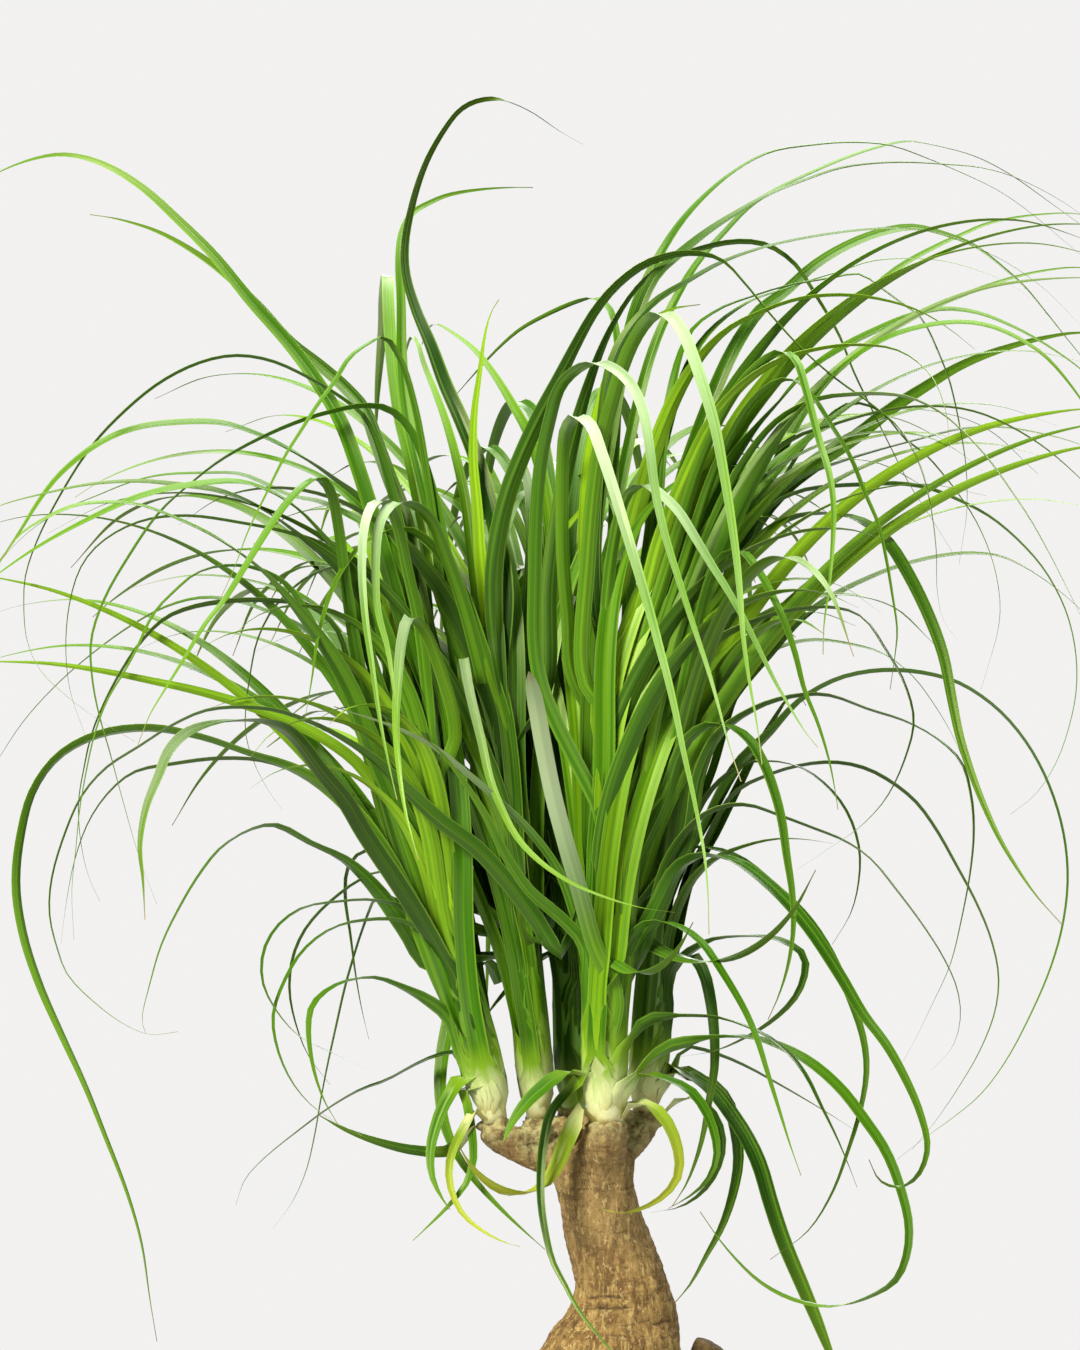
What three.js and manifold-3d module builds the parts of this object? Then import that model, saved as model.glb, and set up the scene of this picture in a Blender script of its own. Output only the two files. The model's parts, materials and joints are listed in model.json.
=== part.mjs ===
// Potted ponytail palm: a plain pot of soil, a swollen trunk, five green shoots and their arching leaves.
// Millimetres, +Z up. The origin is the middle of the pot's flat underside, and the front faces -Y.

import * as THREE from 'three';
import { mergeVertices } from 'three/addons/utils/BufferGeometryUtils.js';
import Module from 'manifold-3d';

const wasm = await Module();
wasm.setup();

// ---- driving dimensions, in millimetres ----
const POT_HEIGHT = 178;
const POT_RIM_RADIUS = 105;
const POT_BASE_RADIUS = 82;
const POT_WALL = 6;
const POT_RIM_BAND = 22;
const POT_FOOT_EDGE = 3;
const SOIL_TOP = 165;
const SOIL_MOUND = 4;
const LEAF_THICKNESS = 0.9;
const LEAF_TIP_WIDTH = 1.2;
const GAP = 0.3;

// ---- the front sketch ----
// Leaves, shoots and trunk are laid out on a front sketch, seen by an eye at EYE.
// One sketch unit is SKETCH_UNIT; sketch x grows to the right and sketch y grows downwards.
const SKETCH_UNIT = 0.55;
const SKETCH_AXIS = 600;
const SKETCH_FLOOR = 1790;
const EYE = { x: -33, distance: 2500, z: 613 };

// A sketch point moved along its line of sight, so that it lies `forward` of the pot's centre plane.
function place(sketchX, sketchY, forward) {
  const nearer = (EYE.distance - forward) / EYE.distance;
  const flatX = (sketchX - SKETCH_AXIS) * SKETCH_UNIT;
  const flatZ = (SKETCH_FLOOR - sketchY) * SKETCH_UNIT;
  return new THREE.Vector3(
    EYE.x + (flatX - EYE.x) * nearer,
    -forward,
    EYE.z + (flatZ - EYE.z) * nearer,
  );
}

// ---- solids ----

// A closed skin over rings of points, with a flat cap at each end.
function loft(rings) {
  const sides = rings[0].length;
  const positions = [];
  const index = [];
  const centres = [rings[0], rings.at(-1)].map((ring) => {
    const sum = ring.reduce((total, point) => total.add(point), new THREE.Vector3());
    return sum.divideScalar(ring.length);
  });
  for (const ring of rings) {
    for (const point of ring) positions.push(point.x, point.y, point.z);
  }
  for (const centre of centres) positions.push(centre.x, centre.y, centre.z);
  const firstCap = rings.length * sides;
  const lastCap = firstCap + 1;
  const lastRing = (rings.length - 1) * sides;
  for (let side = 0; side < sides; side += 1) {
    const next = (side + 1) % sides;
    for (let ring = 0; ring < rings.length - 1; ring += 1) {
      const low = ring * sides;
      const high = low + sides;
      index.push(low + side, low + next, high + next);
      index.push(low + side, high + next, high + side);
    }
    index.push(firstCap, next, side);
    index.push(lastCap, lastRing + side, lastRing + next);
  }
  const geometry = new THREE.BufferGeometry();
  geometry.setAttribute('position', new THREE.Float32BufferAttribute(positions, 3));
  geometry.setIndex(index);
  return geometry;
}

function toSolid(geometry) {
  const plain = geometry.clone();
  plain.deleteAttribute('normal');
  plain.deleteAttribute('uv');
  const merged = mergeVertices(plain, 1e-4);
  return new wasm.Manifold(new wasm.Mesh({
    numProp: 3,
    vertProperties: Float32Array.from(merged.attributes.position.array),
    triVerts: Uint32Array.from(merged.index.array),
  }));
}

function toGeometry(solid) {
  const mesh = solid.getMesh();
  const geometry = new THREE.BufferGeometry();
  geometry.setAttribute('position', new THREE.Float32BufferAttribute(mesh.vertProperties, 3));
  geometry.setIndex(Array.from(mesh.triVerts));
  return geometry;
}

// A round stem along a curve; radiusAt gives its radius at each fraction of the length.
function stemGeometry(curve, radiusAt, sides, steps) {
  const rings = [];
  for (let step = 0; step <= steps; step += 1) {
    const fraction = step / steps;
    const centre = curve.getPointAt(fraction);
    const along = curve.getTangentAt(fraction);
    const across = new THREE.Vector3(0, 1, 0).cross(along).normalize();
    const ahead = along.clone().cross(across);
    const ring = [];
    for (let side = 0; side < sides; side += 1) {
      const angle = (2 * Math.PI * side) / sides;
      ring.push(centre.clone()
        .addScaledVector(across, radiusAt(fraction) * Math.cos(angle))
        .addScaledVector(ahead, radiusAt(fraction) * Math.sin(angle)));
    }
    rings.push(ring);
  }
  return loft(rings);
}

function mesh(name, geometry, material) {
  const made = new THREE.Mesh(geometry, material);
  made.name = name;
  geometry.computeVertexNormals();
  return made;
}

// ---- materials ----
function matt(color, roughness) {
  return new THREE.MeshStandardMaterial({ color, roughness, metalness: 0 });
}
const potGlaze = matt('#8d8a84', 0.6);
const earth = matt('#3d2c20', 0.95);
const bark = matt('#9a7c4f', 0.85);
const sheath = matt('#a9b860', 0.5);
const blade = matt('#4f8a25', 0.45);

// ---- pot ----
function potProfile() {
  const outer = [
    [0, 0],
    [POT_BASE_RADIUS - POT_FOOT_EDGE, 0],
    [POT_BASE_RADIUS, POT_FOOT_EDGE],
    [POT_RIM_RADIUS - 3, POT_HEIGHT - POT_RIM_BAND],
    [POT_RIM_RADIUS, POT_HEIGHT - POT_RIM_BAND + 2],
    [POT_RIM_RADIUS, POT_HEIGHT - 2],
    [POT_RIM_RADIUS - 2, POT_HEIGHT],
  ];
  const inner = [
    [POT_RIM_RADIUS - POT_WALL + 2, POT_HEIGHT],
    [POT_RIM_RADIUS - POT_WALL, POT_HEIGHT - 2],
    [POT_BASE_RADIUS - POT_WALL, POT_WALL + 2],
    [POT_BASE_RADIUS - POT_WALL - 2, POT_WALL],
    [0, POT_WALL],
  ];
  return [...outer, ...inner].map(([radius, height]) => new THREE.Vector2(radius, height));
}

function turned(profile, segments) {
  return new THREE.LatheGeometry(profile, segments).rotateX(Math.PI / 2);
}

// ---- trunk ----
// Sketch height, sketch x of the middle, and diameter in millimetres, from the neck down to the buried foot.
const TRUNK_RINGS = [
  [1150, 597, 40],
  [1158, 596, 45],
  [1180, 594, 44.6],
  [1206, 600, 45],
  [1232, 607, 47],
  [1261, 616, 49.5],
  [1286, 621.5, 52],
  [1305, 621.5, 58],
  [1322, 617.5, 65.5],
  [1335, 613, 72.5],
  [1350, 609.5, 78],
  [1370, 603, 94],
  [1392, 597, 114],
  [1412, 592, 129],
  [1432, 590, 137],
  [1455, 590, 136],
  [1480, 592, 127],
  [1510, 595, 108],
  [1535, 597, 82],
  [1552, 598, 50],
];
const TRUNK_SIDES = 22;
const BARK_WAVE = 0.025;

// The trunk's skin, grown outwards by `extra` where the soil's hollow is cut.
function trunkRings(extra) {
  const rings = TRUNK_RINGS.map(([sketchY, sketchX, diameter]) => {
    const centre = place(sketchX, sketchY, 0);
    const ring = [];
    for (let side = 0; side < TRUNK_SIDES; side += 1) {
      const angle = (2 * Math.PI * side) / TRUNK_SIDES;
      const wave = 1 + BARK_WAVE * Math.sin(3 * angle + sketchY / 40);
      const radius = (diameter / 2) * wave + extra;
      ring.push(new THREE.Vector3(
        centre.x + radius * Math.cos(angle),
        centre.y + radius * Math.sin(angle),
        centre.z,
      ));
    }
    return ring;
  });
  rings[0].forEach((point) => { point.z += extra; });
  rings.at(-1).forEach((point) => { point.z -= extra; });
  return rings.reverse();
}

// ---- shoots ----
// Each shoot's route on the sketch from its foot to its tip, how far forward it stands, and its foot radius.
const SHOOTS = {
  left: {
    forward: 10, radius: 10.5,
    route: [[495, 1122], [480, 1050], [463, 980], [450, 900], [441, 820], [434, 740], [430, 690]],
  },
  middle: {
    forward: -6, radius: 10,
    route: [[539, 1120], [532, 1040], [526, 960], [520, 880], [512, 800], [503, 720], [497, 660]],
  },
  front: {
    forward: 22, radius: 12,
    route: [[606, 1124], [604, 1040], [602, 950], [601, 860], [602, 780], [604, 700], [607, 640]],
  },
  right: {
    forward: -16, radius: 10.5,
    route: [[645, 1112], [650, 1040], [653, 970], [658, 900], [664, 820], [671, 750], [677, 690]],
  },
  back: {
    forward: -38, radius: 10,
    route: [[574, 1110], [571, 1020], [567, 930], [563, 850], [560, 770], [558, 700], [556, 640]],
  },
};
const SHOOT_SIDES = 10;
const SHOOT_STEPS = 9;
const STUMP_BEND = 11;
const STUMP_FLARE = 1.35;
const STUMP_TAPER = 0.2;
const NECK = { x: 597, y: 1180 };
const DRY_STUB = {
  forward: -6,
  footRadius: 12,
  cutRadius: 9,
  route: [[655, 1420], [700, 1368], [711, 1344]],
};

function shootCurve(shoot) {
  const points = shoot.route.map(([x, y]) => place(x, y, shoot.forward));
  return new THREE.CatmullRomCurve3(points);
}

// A sheath swells a little above its foot, then narrows to the heart leaves.
function shootRadius(shoot, fraction) {
  const swell = 1 + 0.12 * Math.sin(Math.PI * Math.min(1, fraction * 2.5));
  return shoot.radius * swell * (1 - 0.8 * fraction ** 1.4);
}

// The woody stump that carries a shoot, from inside the trunk's neck up to the shoot's foot.
function stump(shoot) {
  const curve = shootCurve(shoot);
  const foot = curve.getPointAt(0);
  const along = curve.getTangentAt(0);
  const neck = place(NECK.x, NECK.y, 0);
  const start = new THREE.Vector3(
    neck.x + (foot.x - neck.x) * 0.35,
    neck.y + (foot.y - neck.y) * 0.35,
    neck.z,
  );
  const top = foot.clone().addScaledVector(along, -GAP);
  const bend = top.clone().addScaledVector(along, -STUMP_BEND);
  const route = new THREE.CatmullRomCurve3([start, bend, top]);
  const radius = shootRadius(shoot, 0);
  const radiusAt = (fraction) => radius * (STUMP_FLARE - STUMP_TAPER * fraction);
  return toSolid(stemGeometry(route, radiusAt, SHOOT_SIDES, 4));
}

// An old side shoot, cut flat and dried, on the right shoulder of the swollen foot.
function dryStub() {
  const points = DRY_STUB.route.map(([x, y]) => place(x, y, DRY_STUB.forward));
  const route = new THREE.CatmullRomCurve3(points);
  const radiusAt = (fraction) => DRY_STUB.footRadius + (DRY_STUB.cutRadius - DRY_STUB.footRadius) * fraction;
  return toSolid(stemGeometry(route, radiusAt, SHOOT_SIDES, 3));
}

function trunkSolid() {
  let solid = toSolid(loft(trunkRings(0)));
  for (const shoot of Object.values(SHOOTS)) solid = solid.add(stump(shoot));
  return solid.add(dryStub());
}

// ---- soil ----
function soilSolid() {
  const radiusAt = (height) => {
    const rise = (height - POT_WALL) / (POT_HEIGHT - POT_WALL);
    const bottom = POT_BASE_RADIUS - POT_WALL - GAP - 2;
    const top = POT_RIM_RADIUS - POT_WALL - GAP - 2;
    return bottom + (top - bottom) * rise;
  };
  const floor = POT_WALL + GAP;
  const profile = [
    [0, floor],
    [radiusAt(floor), floor],
    [radiusAt(SOIL_TOP - 3), SOIL_TOP - 3],
    [radiusAt(SOIL_TOP) - 3, SOIL_TOP],
    [70, SOIL_TOP + SOIL_MOUND],
    [0, SOIL_TOP + SOIL_MOUND],
  ].map(([radius, height]) => new THREE.Vector2(radius, height));
  return toSolid(turned(profile, 40)).subtract(toSolid(loft(trunkRings(GAP))));
}

// ---- leaves ----
// Each leaf: its shoot, how far up the shoot it leaves it (0 foot, 1 tip), its width, how far forward
// its tip lies of its shoot, and its route on the sketch from the shoot to the tip.
const LEAVES = [
  { name: 'left_sweep', shoot: 'left', up: 0.95, width: 10, forward: -95, twist: 40,
    route: [
      [385, 560], [360, 475], [340, 420], [318, 383], [290, 345], [250, 300], [215, 257], [180, 222],
      [140, 186], [100, 163], [65, 155], [35, 159], [0, 172], [-30, 190],
    ] },
  { name: 'left_blade_high', shoot: 'left', up: 0.84, width: 12, forward: -230, twist: 0,
    route: [
      [440, 700], [420, 600], [405, 520], [390, 480], [378, 447], [365, 412], [345, 388], [320, 366],
      [290, 342], [260, 308], [230, 279], [200, 256], [160, 233], [120, 220], [90, 215],
    ] },
  { name: 'left_bow_thin', shoot: 'middle', up: 0.75, width: 8, forward: 45, twist: 0,
    route: [
      [425, 700], [405, 560], [385, 470], [365, 420], [345, 402], [310, 380], [270, 362], [235, 357],
      [200, 364], [160, 384], [120, 417], [90, 450], [60, 497], [38, 540], [26, 575], [24, 600],
      [27, 640], [40, 670], [65, 695], [97, 719], [135, 742],
    ] },
  { name: 'left_arch_broad', shoot: 'back', up: 0.8, width: 12, forward: 95, twist: 0,
    route: [
      [445, 720], [420, 610], [390, 540], [360, 502], [335, 482], [310, 463], [280, 446], [250, 433],
      [220, 424], [170, 424], [140, 428], [115, 436], [90, 450], [60, 475], [40, 500], [20, 532],
      [0, 562], [-25, 600],
    ] },
  { name: 'left_drape_long', shoot: 'middle', up: 0.8, width: 10, forward: 75, twist: 0,
    route: [
      [465, 700], [445, 560], [425, 470], [405, 425], [385, 410], [360, 408], [330, 414], [300, 423],
      [260, 440], [220, 462], [190, 485], [160, 513], [130, 556], [105, 600], [92, 640], [93, 680],
      [100, 717], [110, 752], [120, 790], [140, 860], [157, 905],
    ] },
  { name: 'left_arch_3', shoot: 'left', up: 0.73, width: 10, forward: 55, twist: 0,
    route: [
      [435, 780], [405, 690], [370, 610], [335, 565], [300, 538], [275, 518], [250, 504], [215, 491],
      [180, 486], [140, 482], [90, 485], [45, 494], [0, 506], [-30, 520],
    ] },
  { name: 'left_blade_bright', shoot: 'left', up: 0.5, width: 12, forward: 120, twist: 0,
    route: [
      [418, 850], [395, 800], [372, 745], [350, 690], [330, 655], [308, 625], [285, 597], [255, 566],
      [220, 541], [180, 521], [140, 506], [110, 503], [75, 506], [45, 519], [20, 535], [0, 560],
    ] },
  { name: 'left_fold_broad', shoot: 'middle', up: 0.4, width: 12, forward: 180, twist: 0,
    route: [
      [425, 860], [395, 790], [370, 720], [355, 650], [345, 585], [338, 530], [330, 492], [318, 479],
      [300, 490], [280, 513], [262, 540], [245, 568], [225, 600], [205, 625], [185, 658], [165, 690],
      [150, 715], [138, 745],
    ] },
  { name: 'left_bow_broad', shoot: 'left', up: 0.3, width: 11, forward: 25, twist: 0,
    route: [
      [395, 850], [370, 760], [350, 680], [335, 630], [310, 608], [280, 603], [240, 602], [195, 608],
      [165, 620], [140, 645], [120, 675], [105, 703], [92, 735], [84, 770], [79, 800], [80, 835],
      [88, 875], [100, 902],
    ] },
  { name: 'left_longest', shoot: 'left', up: 0.15, width: 11, forward: 75, twist: 0,
    route: [
      [420, 930], [390, 865], [355, 815], [320, 785], [285, 767], [250, 756], [200, 739], [150, 730],
      [100, 736], [60, 757], [35, 790], [22, 835], [17, 885], [24, 935], [40, 985], [62, 1035],
      [85, 1085], [105, 1135], [128, 1195], [142, 1245], [150, 1300], [157, 1342],
    ] },
  { name: 'left_crossing', shoot: 'front', up: 0.5, width: 11, forward: 60, twist: 0,
    route: [
      [562, 955], [532, 915], [505, 880], [475, 848], [440, 822], [405, 790], [375, 762], [345, 742],
      [310, 724], [270, 711], [210, 711], [175, 725], [140, 747], [105, 770], [82, 797], [65, 835],
      [52, 880], [50, 915], [58, 950], [68, 975], [95, 1003], [125, 1025], [150, 1035], [178, 1032],
    ] },
  { name: 'left_blade_low', shoot: 'left', up: 0.35, width: 12, forward: 280, twist: 0,
    route: [
      [440, 955], [405, 895], [365, 835], [345, 802], [320, 772], [298, 742], [280, 728], [255, 722],
      [220, 723], [190, 732], [170, 750], [158, 778], [146, 808], [140, 845], [143, 880], [145, 920],
    ] },
  { name: 'left_arch_low', shoot: 'middle', up: 0.35, width: 12, forward: 75, twist: 0,
    route: [
      [430, 965], [405, 930], [375, 890], [345, 862], [310, 845], [275, 827], [250, 831], [222, 848],
      [200, 875], [180, 908], [162, 945], [150, 985], [142, 1020], [146, 1034],
    ] },
  { name: 'left_hook_pale', shoot: 'middle', up: 0.6, width: 10, forward: 25, twist: 0,
    route: [
      [390, 750], [385, 660], [375, 590], [355, 567], [335, 568], [310, 577], [290, 592], [272, 612],
      [258, 640], [251, 672], [246, 710], [246, 735], [253, 760], [266, 787], [282, 810],
    ] },
  { name: 'left_fold_pale', shoot: 'middle', up: 0.38, width: 10, forward: 0, twist: 0,
    route: [
      [445, 915], [425, 880], [405, 860], [385, 851], [365, 852], [350, 865], [346, 895], [351, 935],
      [356, 975], [362, 1010], [369, 1040],
    ] },
  { name: 'left_hang', shoot: 'middle', up: 0.36, width: 10, forward: -25, twist: 0,
    route: [
      [450, 960], [420, 925], [395, 903], [378, 898], [365, 925], [355, 955], [345, 990], [337, 1025],
      [328, 1065], [321, 1100], [315, 1135], [306, 1172], [292, 1203], [273, 1229],
    ] },
  { name: 'left_low_dark', shoot: 'left', up: 0.08, width: 9, forward: -40, twist: 0,
    route: [
      [475, 1062], [460, 1055], [440, 1056], [415, 1066], [385, 1082], [360, 1091], [330, 1108],
      [300, 1130], [265, 1158], [245, 1180], [236, 1205],
    ] },
  { name: 'front_left_fold', shoot: 'back', up: 0.5, width: 12, forward: 62, twist: 0,
    route: [
      [502, 985], [490, 964], [472, 968], [458, 995], [447, 1035], [441, 1075], [443, 1115],
      [455, 1150], [475, 1180], [500, 1208], [525, 1232], [545, 1250],
    ] },
  { name: 'collar_yellow_left', shoot: 'left', up: 0.03, width: 9, forward: 35, twist: 0,
    route: [
      [457, 1140], [449, 1165], [451, 1190], [463, 1215], [485, 1233], [505, 1243], [520, 1247],
    ] },
  { name: 'collar_yellow_front', shoot: 'front', up: 0.03, width: 12, forward: 50, twist: 0,
    route: [
      [568, 1142], [557, 1168], [545, 1186], [522, 1195], [503, 1192], [485, 1181], [470, 1165],
      [460, 1148],
    ] },
  { name: 'trunk_drape', shoot: 'front', up: 0.11, width: 9, forward: 80, twist: 0,
    route: [
      [560, 1100], [550, 1115], [544, 1140], [541, 1170], [541, 1200], [545, 1230], [553, 1262],
      [565, 1285], [577, 1308], [592, 1328], [612, 1352], [630, 1372],
    ] },
  { name: 'top_tall_dark', shoot: 'middle', up: 0.95, width: 12, forward: -190, twist: 0,
    route: [
      [505, 590], [490, 505], [475, 455], [460, 418], [445, 385], [430, 345], [415, 310], [405, 275],
      [404, 245], [409, 215], [417, 185], [428, 157], [445, 128], [460, 110], [478, 101], [500, 100],
      [530, 112], [560, 132], [583, 145],
    ] },
  { name: 'top_tall_bright', shoot: 'middle', up: 0.9, width: 11, forward: -180, twist: 0,
    route: [
      [455, 610], [437, 540], [425, 490], [415, 450], [407, 410], [402, 360], [401, 300], [399, 260],
      [402, 233], [412, 214], [430, 203], [450, 195], [480, 190], [510, 188], [533, 188],
    ] },
  { name: 'top_fold_pale', shoot: 'middle', up: 0.85, width: 12, forward: -215, twist: 0,
    route: [
      [445, 610], [425, 530], [410, 460], [400, 420], [394, 380], [390, 340], [388, 300], [387, 276],
      [384, 300], [383, 325], [380, 360], [377, 400], [376, 440],
    ] },
  { name: 'sweep_right_1', shoot: 'middle', up: 0.9, width: 12, forward: 70, twist: 0,
    route: [
      [500, 680], [494, 590], [498, 540], [508, 495], [523, 455], [540, 418], [560, 380], [578, 345],
      [597, 312], [620, 285], [650, 264], [690, 255], [722, 262], [745, 285], [770, 315], [800, 348],
      [835, 379], [870, 404], [900, 430], [920, 467], [930, 505], [936, 550], [937, 590], [943, 620],
      [957, 640],
    ] },
  { name: 'sweep_right_2', shoot: 'middle', up: 0.8, width: 11, forward: 20, twist: 0,
    route: [
      [545, 700], [550, 580], [565, 480], [585, 400], [612, 330], [640, 287], [670, 262], [705, 249],
      [740, 243], [768, 247], [795, 266], [815, 296], [838, 335], [853, 372], [870, 407], [890, 447],
      [910, 486], [932, 520], [952, 552],
    ] },
  { name: 'sweep_high_1', shoot: 'back', up: 0.9, width: 10, forward: -80, twist: 0,
    route: [
      [590, 560], [605, 450], [620, 380], [635, 310], [655, 265], [680, 225], [705, 197], [735, 172],
      [770, 153], [810, 146], [850, 143], [890, 146], [925, 158], [970, 177], [1000, 192], [1030, 213],
      [1060, 238], [1100, 272],
    ] },
  { name: 'blade_right_high', shoot: 'front', up: 0.85, width: 12, forward: -90, twist: 0,
    route: [
      [660, 580], [685, 475], [708, 410], [722, 375], [740, 340], [760, 312], [785, 293], [815, 266],
      [850, 245], [885, 232], [915, 228], [945, 235], [975, 247], [1005, 270], [1025, 288], [1045, 312],
      [1065, 337], [1085, 362], [1110, 400],
    ] },
  { name: 'fold_bright', shoot: 'front', up: 0.85, width: 12, forward: 300, twist: 0,
    route: [
      [585, 680], [588, 560], [598, 460], [610, 410], [622, 370], [636, 338], [652, 318], [668, 316],
      [682, 332], [693, 358], [704, 390], [715, 428], [723, 470], [730, 512], [736, 555], [740, 595],
      [743, 635], [749, 680], [757, 725], [762, 765],
    ] },
  { name: 'fold_pale_arc', shoot: 'front', up: 0.63, width: 11, forward: 320, twist: 0,
    route: [
      [540, 680], [535, 570], [540, 470], [550, 420], [560, 388], [578, 370], [598, 364], [616, 371],
      [632, 387], [643, 412], [649, 445], [655, 490], [664, 532], [678, 578], [694, 628], [708, 670],
      [718, 705], [728, 742], [741, 782],
    ] },
  { name: 'fold_white', shoot: 'right', up: 0.7, width: 13, forward: 305, twist: 0,
    route: [
      [574, 680], [568, 620], [563, 560], [562, 500], [563, 455], [566, 430], [576, 418], [590, 425],
      [602, 455], [615, 495], [630, 545], [642, 585], [652, 620], [660, 650], [668, 680], [676, 715],
      [683, 750], [692, 790], [700, 830], [705, 860], [708, 895], [709, 935],
    ] },
  { name: 'arch_right_1', shoot: 'front', up: 0.7, width: 12, forward: 15, twist: 0,
    route: [
      [665, 620], [690, 545], [715, 490], [745, 445], [775, 408], [805, 375], [840, 350], [875, 332],
      [910, 317], [940, 310], [975, 313], [1010, 326], [1050, 348], [1090, 378], [1115, 410],
    ] },
  { name: 'arch_right_3', shoot: 'right', up: 0.9, width: 12, forward: -20, twist: 0,
    route: [
      [710, 640], [735, 570], [757, 525], [785, 490], [820, 462], [855, 438], [890, 410], [925, 387],
      [960, 366], [1000, 350], [1040, 339], [1080, 333], [1115, 338],
    ] },
  { name: 'arch_right_4', shoot: 'front', up: 0.65, width: 11, forward: 90, twist: 0,
    route: [
      [665, 680], [700, 560], [740, 470], [780, 420], [820, 400], [850, 396], [880, 395], [910, 399],
      [940, 413], [965, 434], [990, 462], [1010, 490], [1030, 520], [1048, 552], [1065, 585],
      [1080, 615], [1095, 650],
    ] },
  { name: 'hang_right_1', shoot: 'front', up: 0.75, width: 9, forward: 170, twist: 0,
    route: [
      [670, 560], [710, 440], [750, 375], [780, 353], [795, 360], [804, 385], [812, 415], [820, 445],
      [828, 470], [833, 500], [833, 535], [831, 565], [828, 595], [824, 625], [823, 655],
    ] },
  { name: 'bow_right_1', shoot: 'right', up: 0.69, width: 8, forward: 30, twist: 0,
    route: [
      [705, 720], [740, 600], [770, 510], [800, 493], [830, 488], [865, 486], [900, 485], [930, 490],
      [960, 502], [990, 518], [1020, 543], [1045, 572], [1065, 610], [1075, 650], [1076, 690],
      [1068, 730], [1055, 765], [1035, 795], [1010, 815],
    ] },
  { name: 'arch_right_big', shoot: 'right', up: 0.76, width: 12, forward: 115, twist: 0,
    route: [
      [685, 760], [708, 660], [730, 585], [755, 545], [785, 523], [815, 515], [845, 517], [868, 526],
      [888, 544], [908, 575], [928, 615], [943, 655], [952, 700], [960, 738], [972, 775], [985, 808],
      [1000, 840], [1018, 870], [1037, 897], [1062, 925],
    ] },
  { name: 'bow_right_2', shoot: 'front', up: 0.5, width: 9, forward: 55, twist: 0,
    route: [
      [668, 790], [685, 700], [705, 652], [745, 627], [790, 612], [835, 609], [862, 618], [885, 650],
      [903, 682], [913, 720], [905, 757], [886, 798], [860, 827], [830, 848], [797, 870],
    ] },
  { name: 'bow_right_3', shoot: 'right', up: 0.5, width: 10, forward: 35, twist: 0,
    route: [
      [705, 830], [740, 765], [770, 735], [800, 703], [835, 682], [865, 674], [895, 672], [925, 675],
      [955, 683], [980, 697], [1005, 718], [1030, 750], [1050, 790], [1063, 835], [1067, 880],
      [1062, 925], [1050, 968], [1030, 1015], [1005, 1062], [980, 1095], [950, 1120], [925, 1138],
      [897, 1160],
    ] },
  { name: 'bow_right_4', shoot: 'front', up: 0.4, width: 9, forward: 65, twist: 0,
    route: [
      [685, 850], [700, 775], [720, 735], [760, 708], [800, 697], [830, 697], [870, 711], [905, 722],
      [935, 738], [960, 762], [970, 795], [973, 830], [970, 870], [961, 920], [950, 965], [932, 1005],
      [915, 1040], [903, 1062],
    ] },
  { name: 'low_right_big', shoot: 'front', up: 0.3, width: 13, forward: 150, twist: 0,
    route: [
      [660, 905], [680, 868], [705, 857], [735, 863], [770, 888], [805, 926], [838, 975], [862, 1015],
      [885, 1045], [905, 1080], [920, 1115], [927, 1148], [918, 1175], [900, 1187], [880, 1181],
      [869, 1160],
    ] },
  { name: 'low_right_arc_1', shoot: 'front', up: 0.08, width: 11, forward: 85, twist: 0,
    route: [
      [665, 1050], [690, 1043], [720, 1038], [750, 1039], [780, 1048], [810, 1064], [840, 1090],
      [862, 1118], [885, 1152], [900, 1190], [908, 1225], [906, 1255], [895, 1280], [870, 1296],
      [835, 1306], [795, 1300], [760, 1282], [725, 1247], [700, 1212],
    ] },
  { name: 'low_right_plunge', shoot: 'right', up: 0.06, width: 12, forward: 95, twist: 0,
    route: [
      [665, 1068], [690, 1076], [712, 1092], [730, 1115], [745, 1138], [758, 1165], [770, 1205],
      [783, 1243], [800, 1283], [815, 1318], [828, 1350], [842, 1385],
    ] },
  { name: 'collar_yellow_right', shoot: 'front', up: 0.03, width: 11, forward: 10, twist: 0,
    route: [
      [645, 1104], [660, 1114], [672, 1133], [679, 1160], [676, 1180], [662, 1197], [643, 1208],
      [620, 1213], [600, 1208],
    ] },
  { name: 'back_arch_1', shoot: 'back', up: 0.93, width: 11, forward: -270, twist: 0,
    route: [
      [552, 540], [545, 460], [532, 412], [512, 405], [495, 440], [484, 500], [477, 570], [474, 640],
    ] },
  { name: 'back_arch_2', shoot: 'back', up: 0.8, width: 11, forward: -290, twist: 0,
    route: [
      [566, 580], [575, 480], [588, 415], [606, 390], [625, 410], [640, 470], [650, 550], [655, 640],
    ] },
  { name: 'back_arch_3', shoot: 'back', up: 0.7, width: 10, forward: -240, twist: 0,
    route: [
      [552, 640], [535, 540], [512, 475], [488, 448], [465, 475], [450, 540], [442, 620], [440, 700],
    ] },
  { name: 'back_arch_4', shoot: 'right', up: 0.8, width: 10, forward: -230, twist: 0,
    route: [
      [684, 640], [700, 540], [716, 480], [732, 470], [744, 520], [750, 600], [752, 680],
    ] },
  { name: 'back_arch_5', shoot: 'left', up: 0.77, width: 10, forward: -205, twist: 0,
    route: [
      [428, 640], [420, 560], [406, 510], [386, 510], [371, 560], [361, 630], [353, 700],
    ] },
  { name: 'back_arch_6', shoot: 'back', up: 0.5, width: 11, forward: -200, twist: 0,
    route: [
      [566, 740], [574, 620], [588, 540], [606, 515], [622, 545], [632, 625], [638, 720], [642, 830],
    ] },
  { name: 'back_arch_7', shoot: 'back', up: 0.25, width: 11, forward: -180, twist: 0,
    route: [
      [558, 880], [548, 800], [534, 755], [515, 752], [500, 800], [492, 870], [488, 950], [486, 1030],
    ] },
];

const LEAF_STEPS = 15;
const FORWARD_GROWTH = 1.3;
const CLASP = 0.16;

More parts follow.
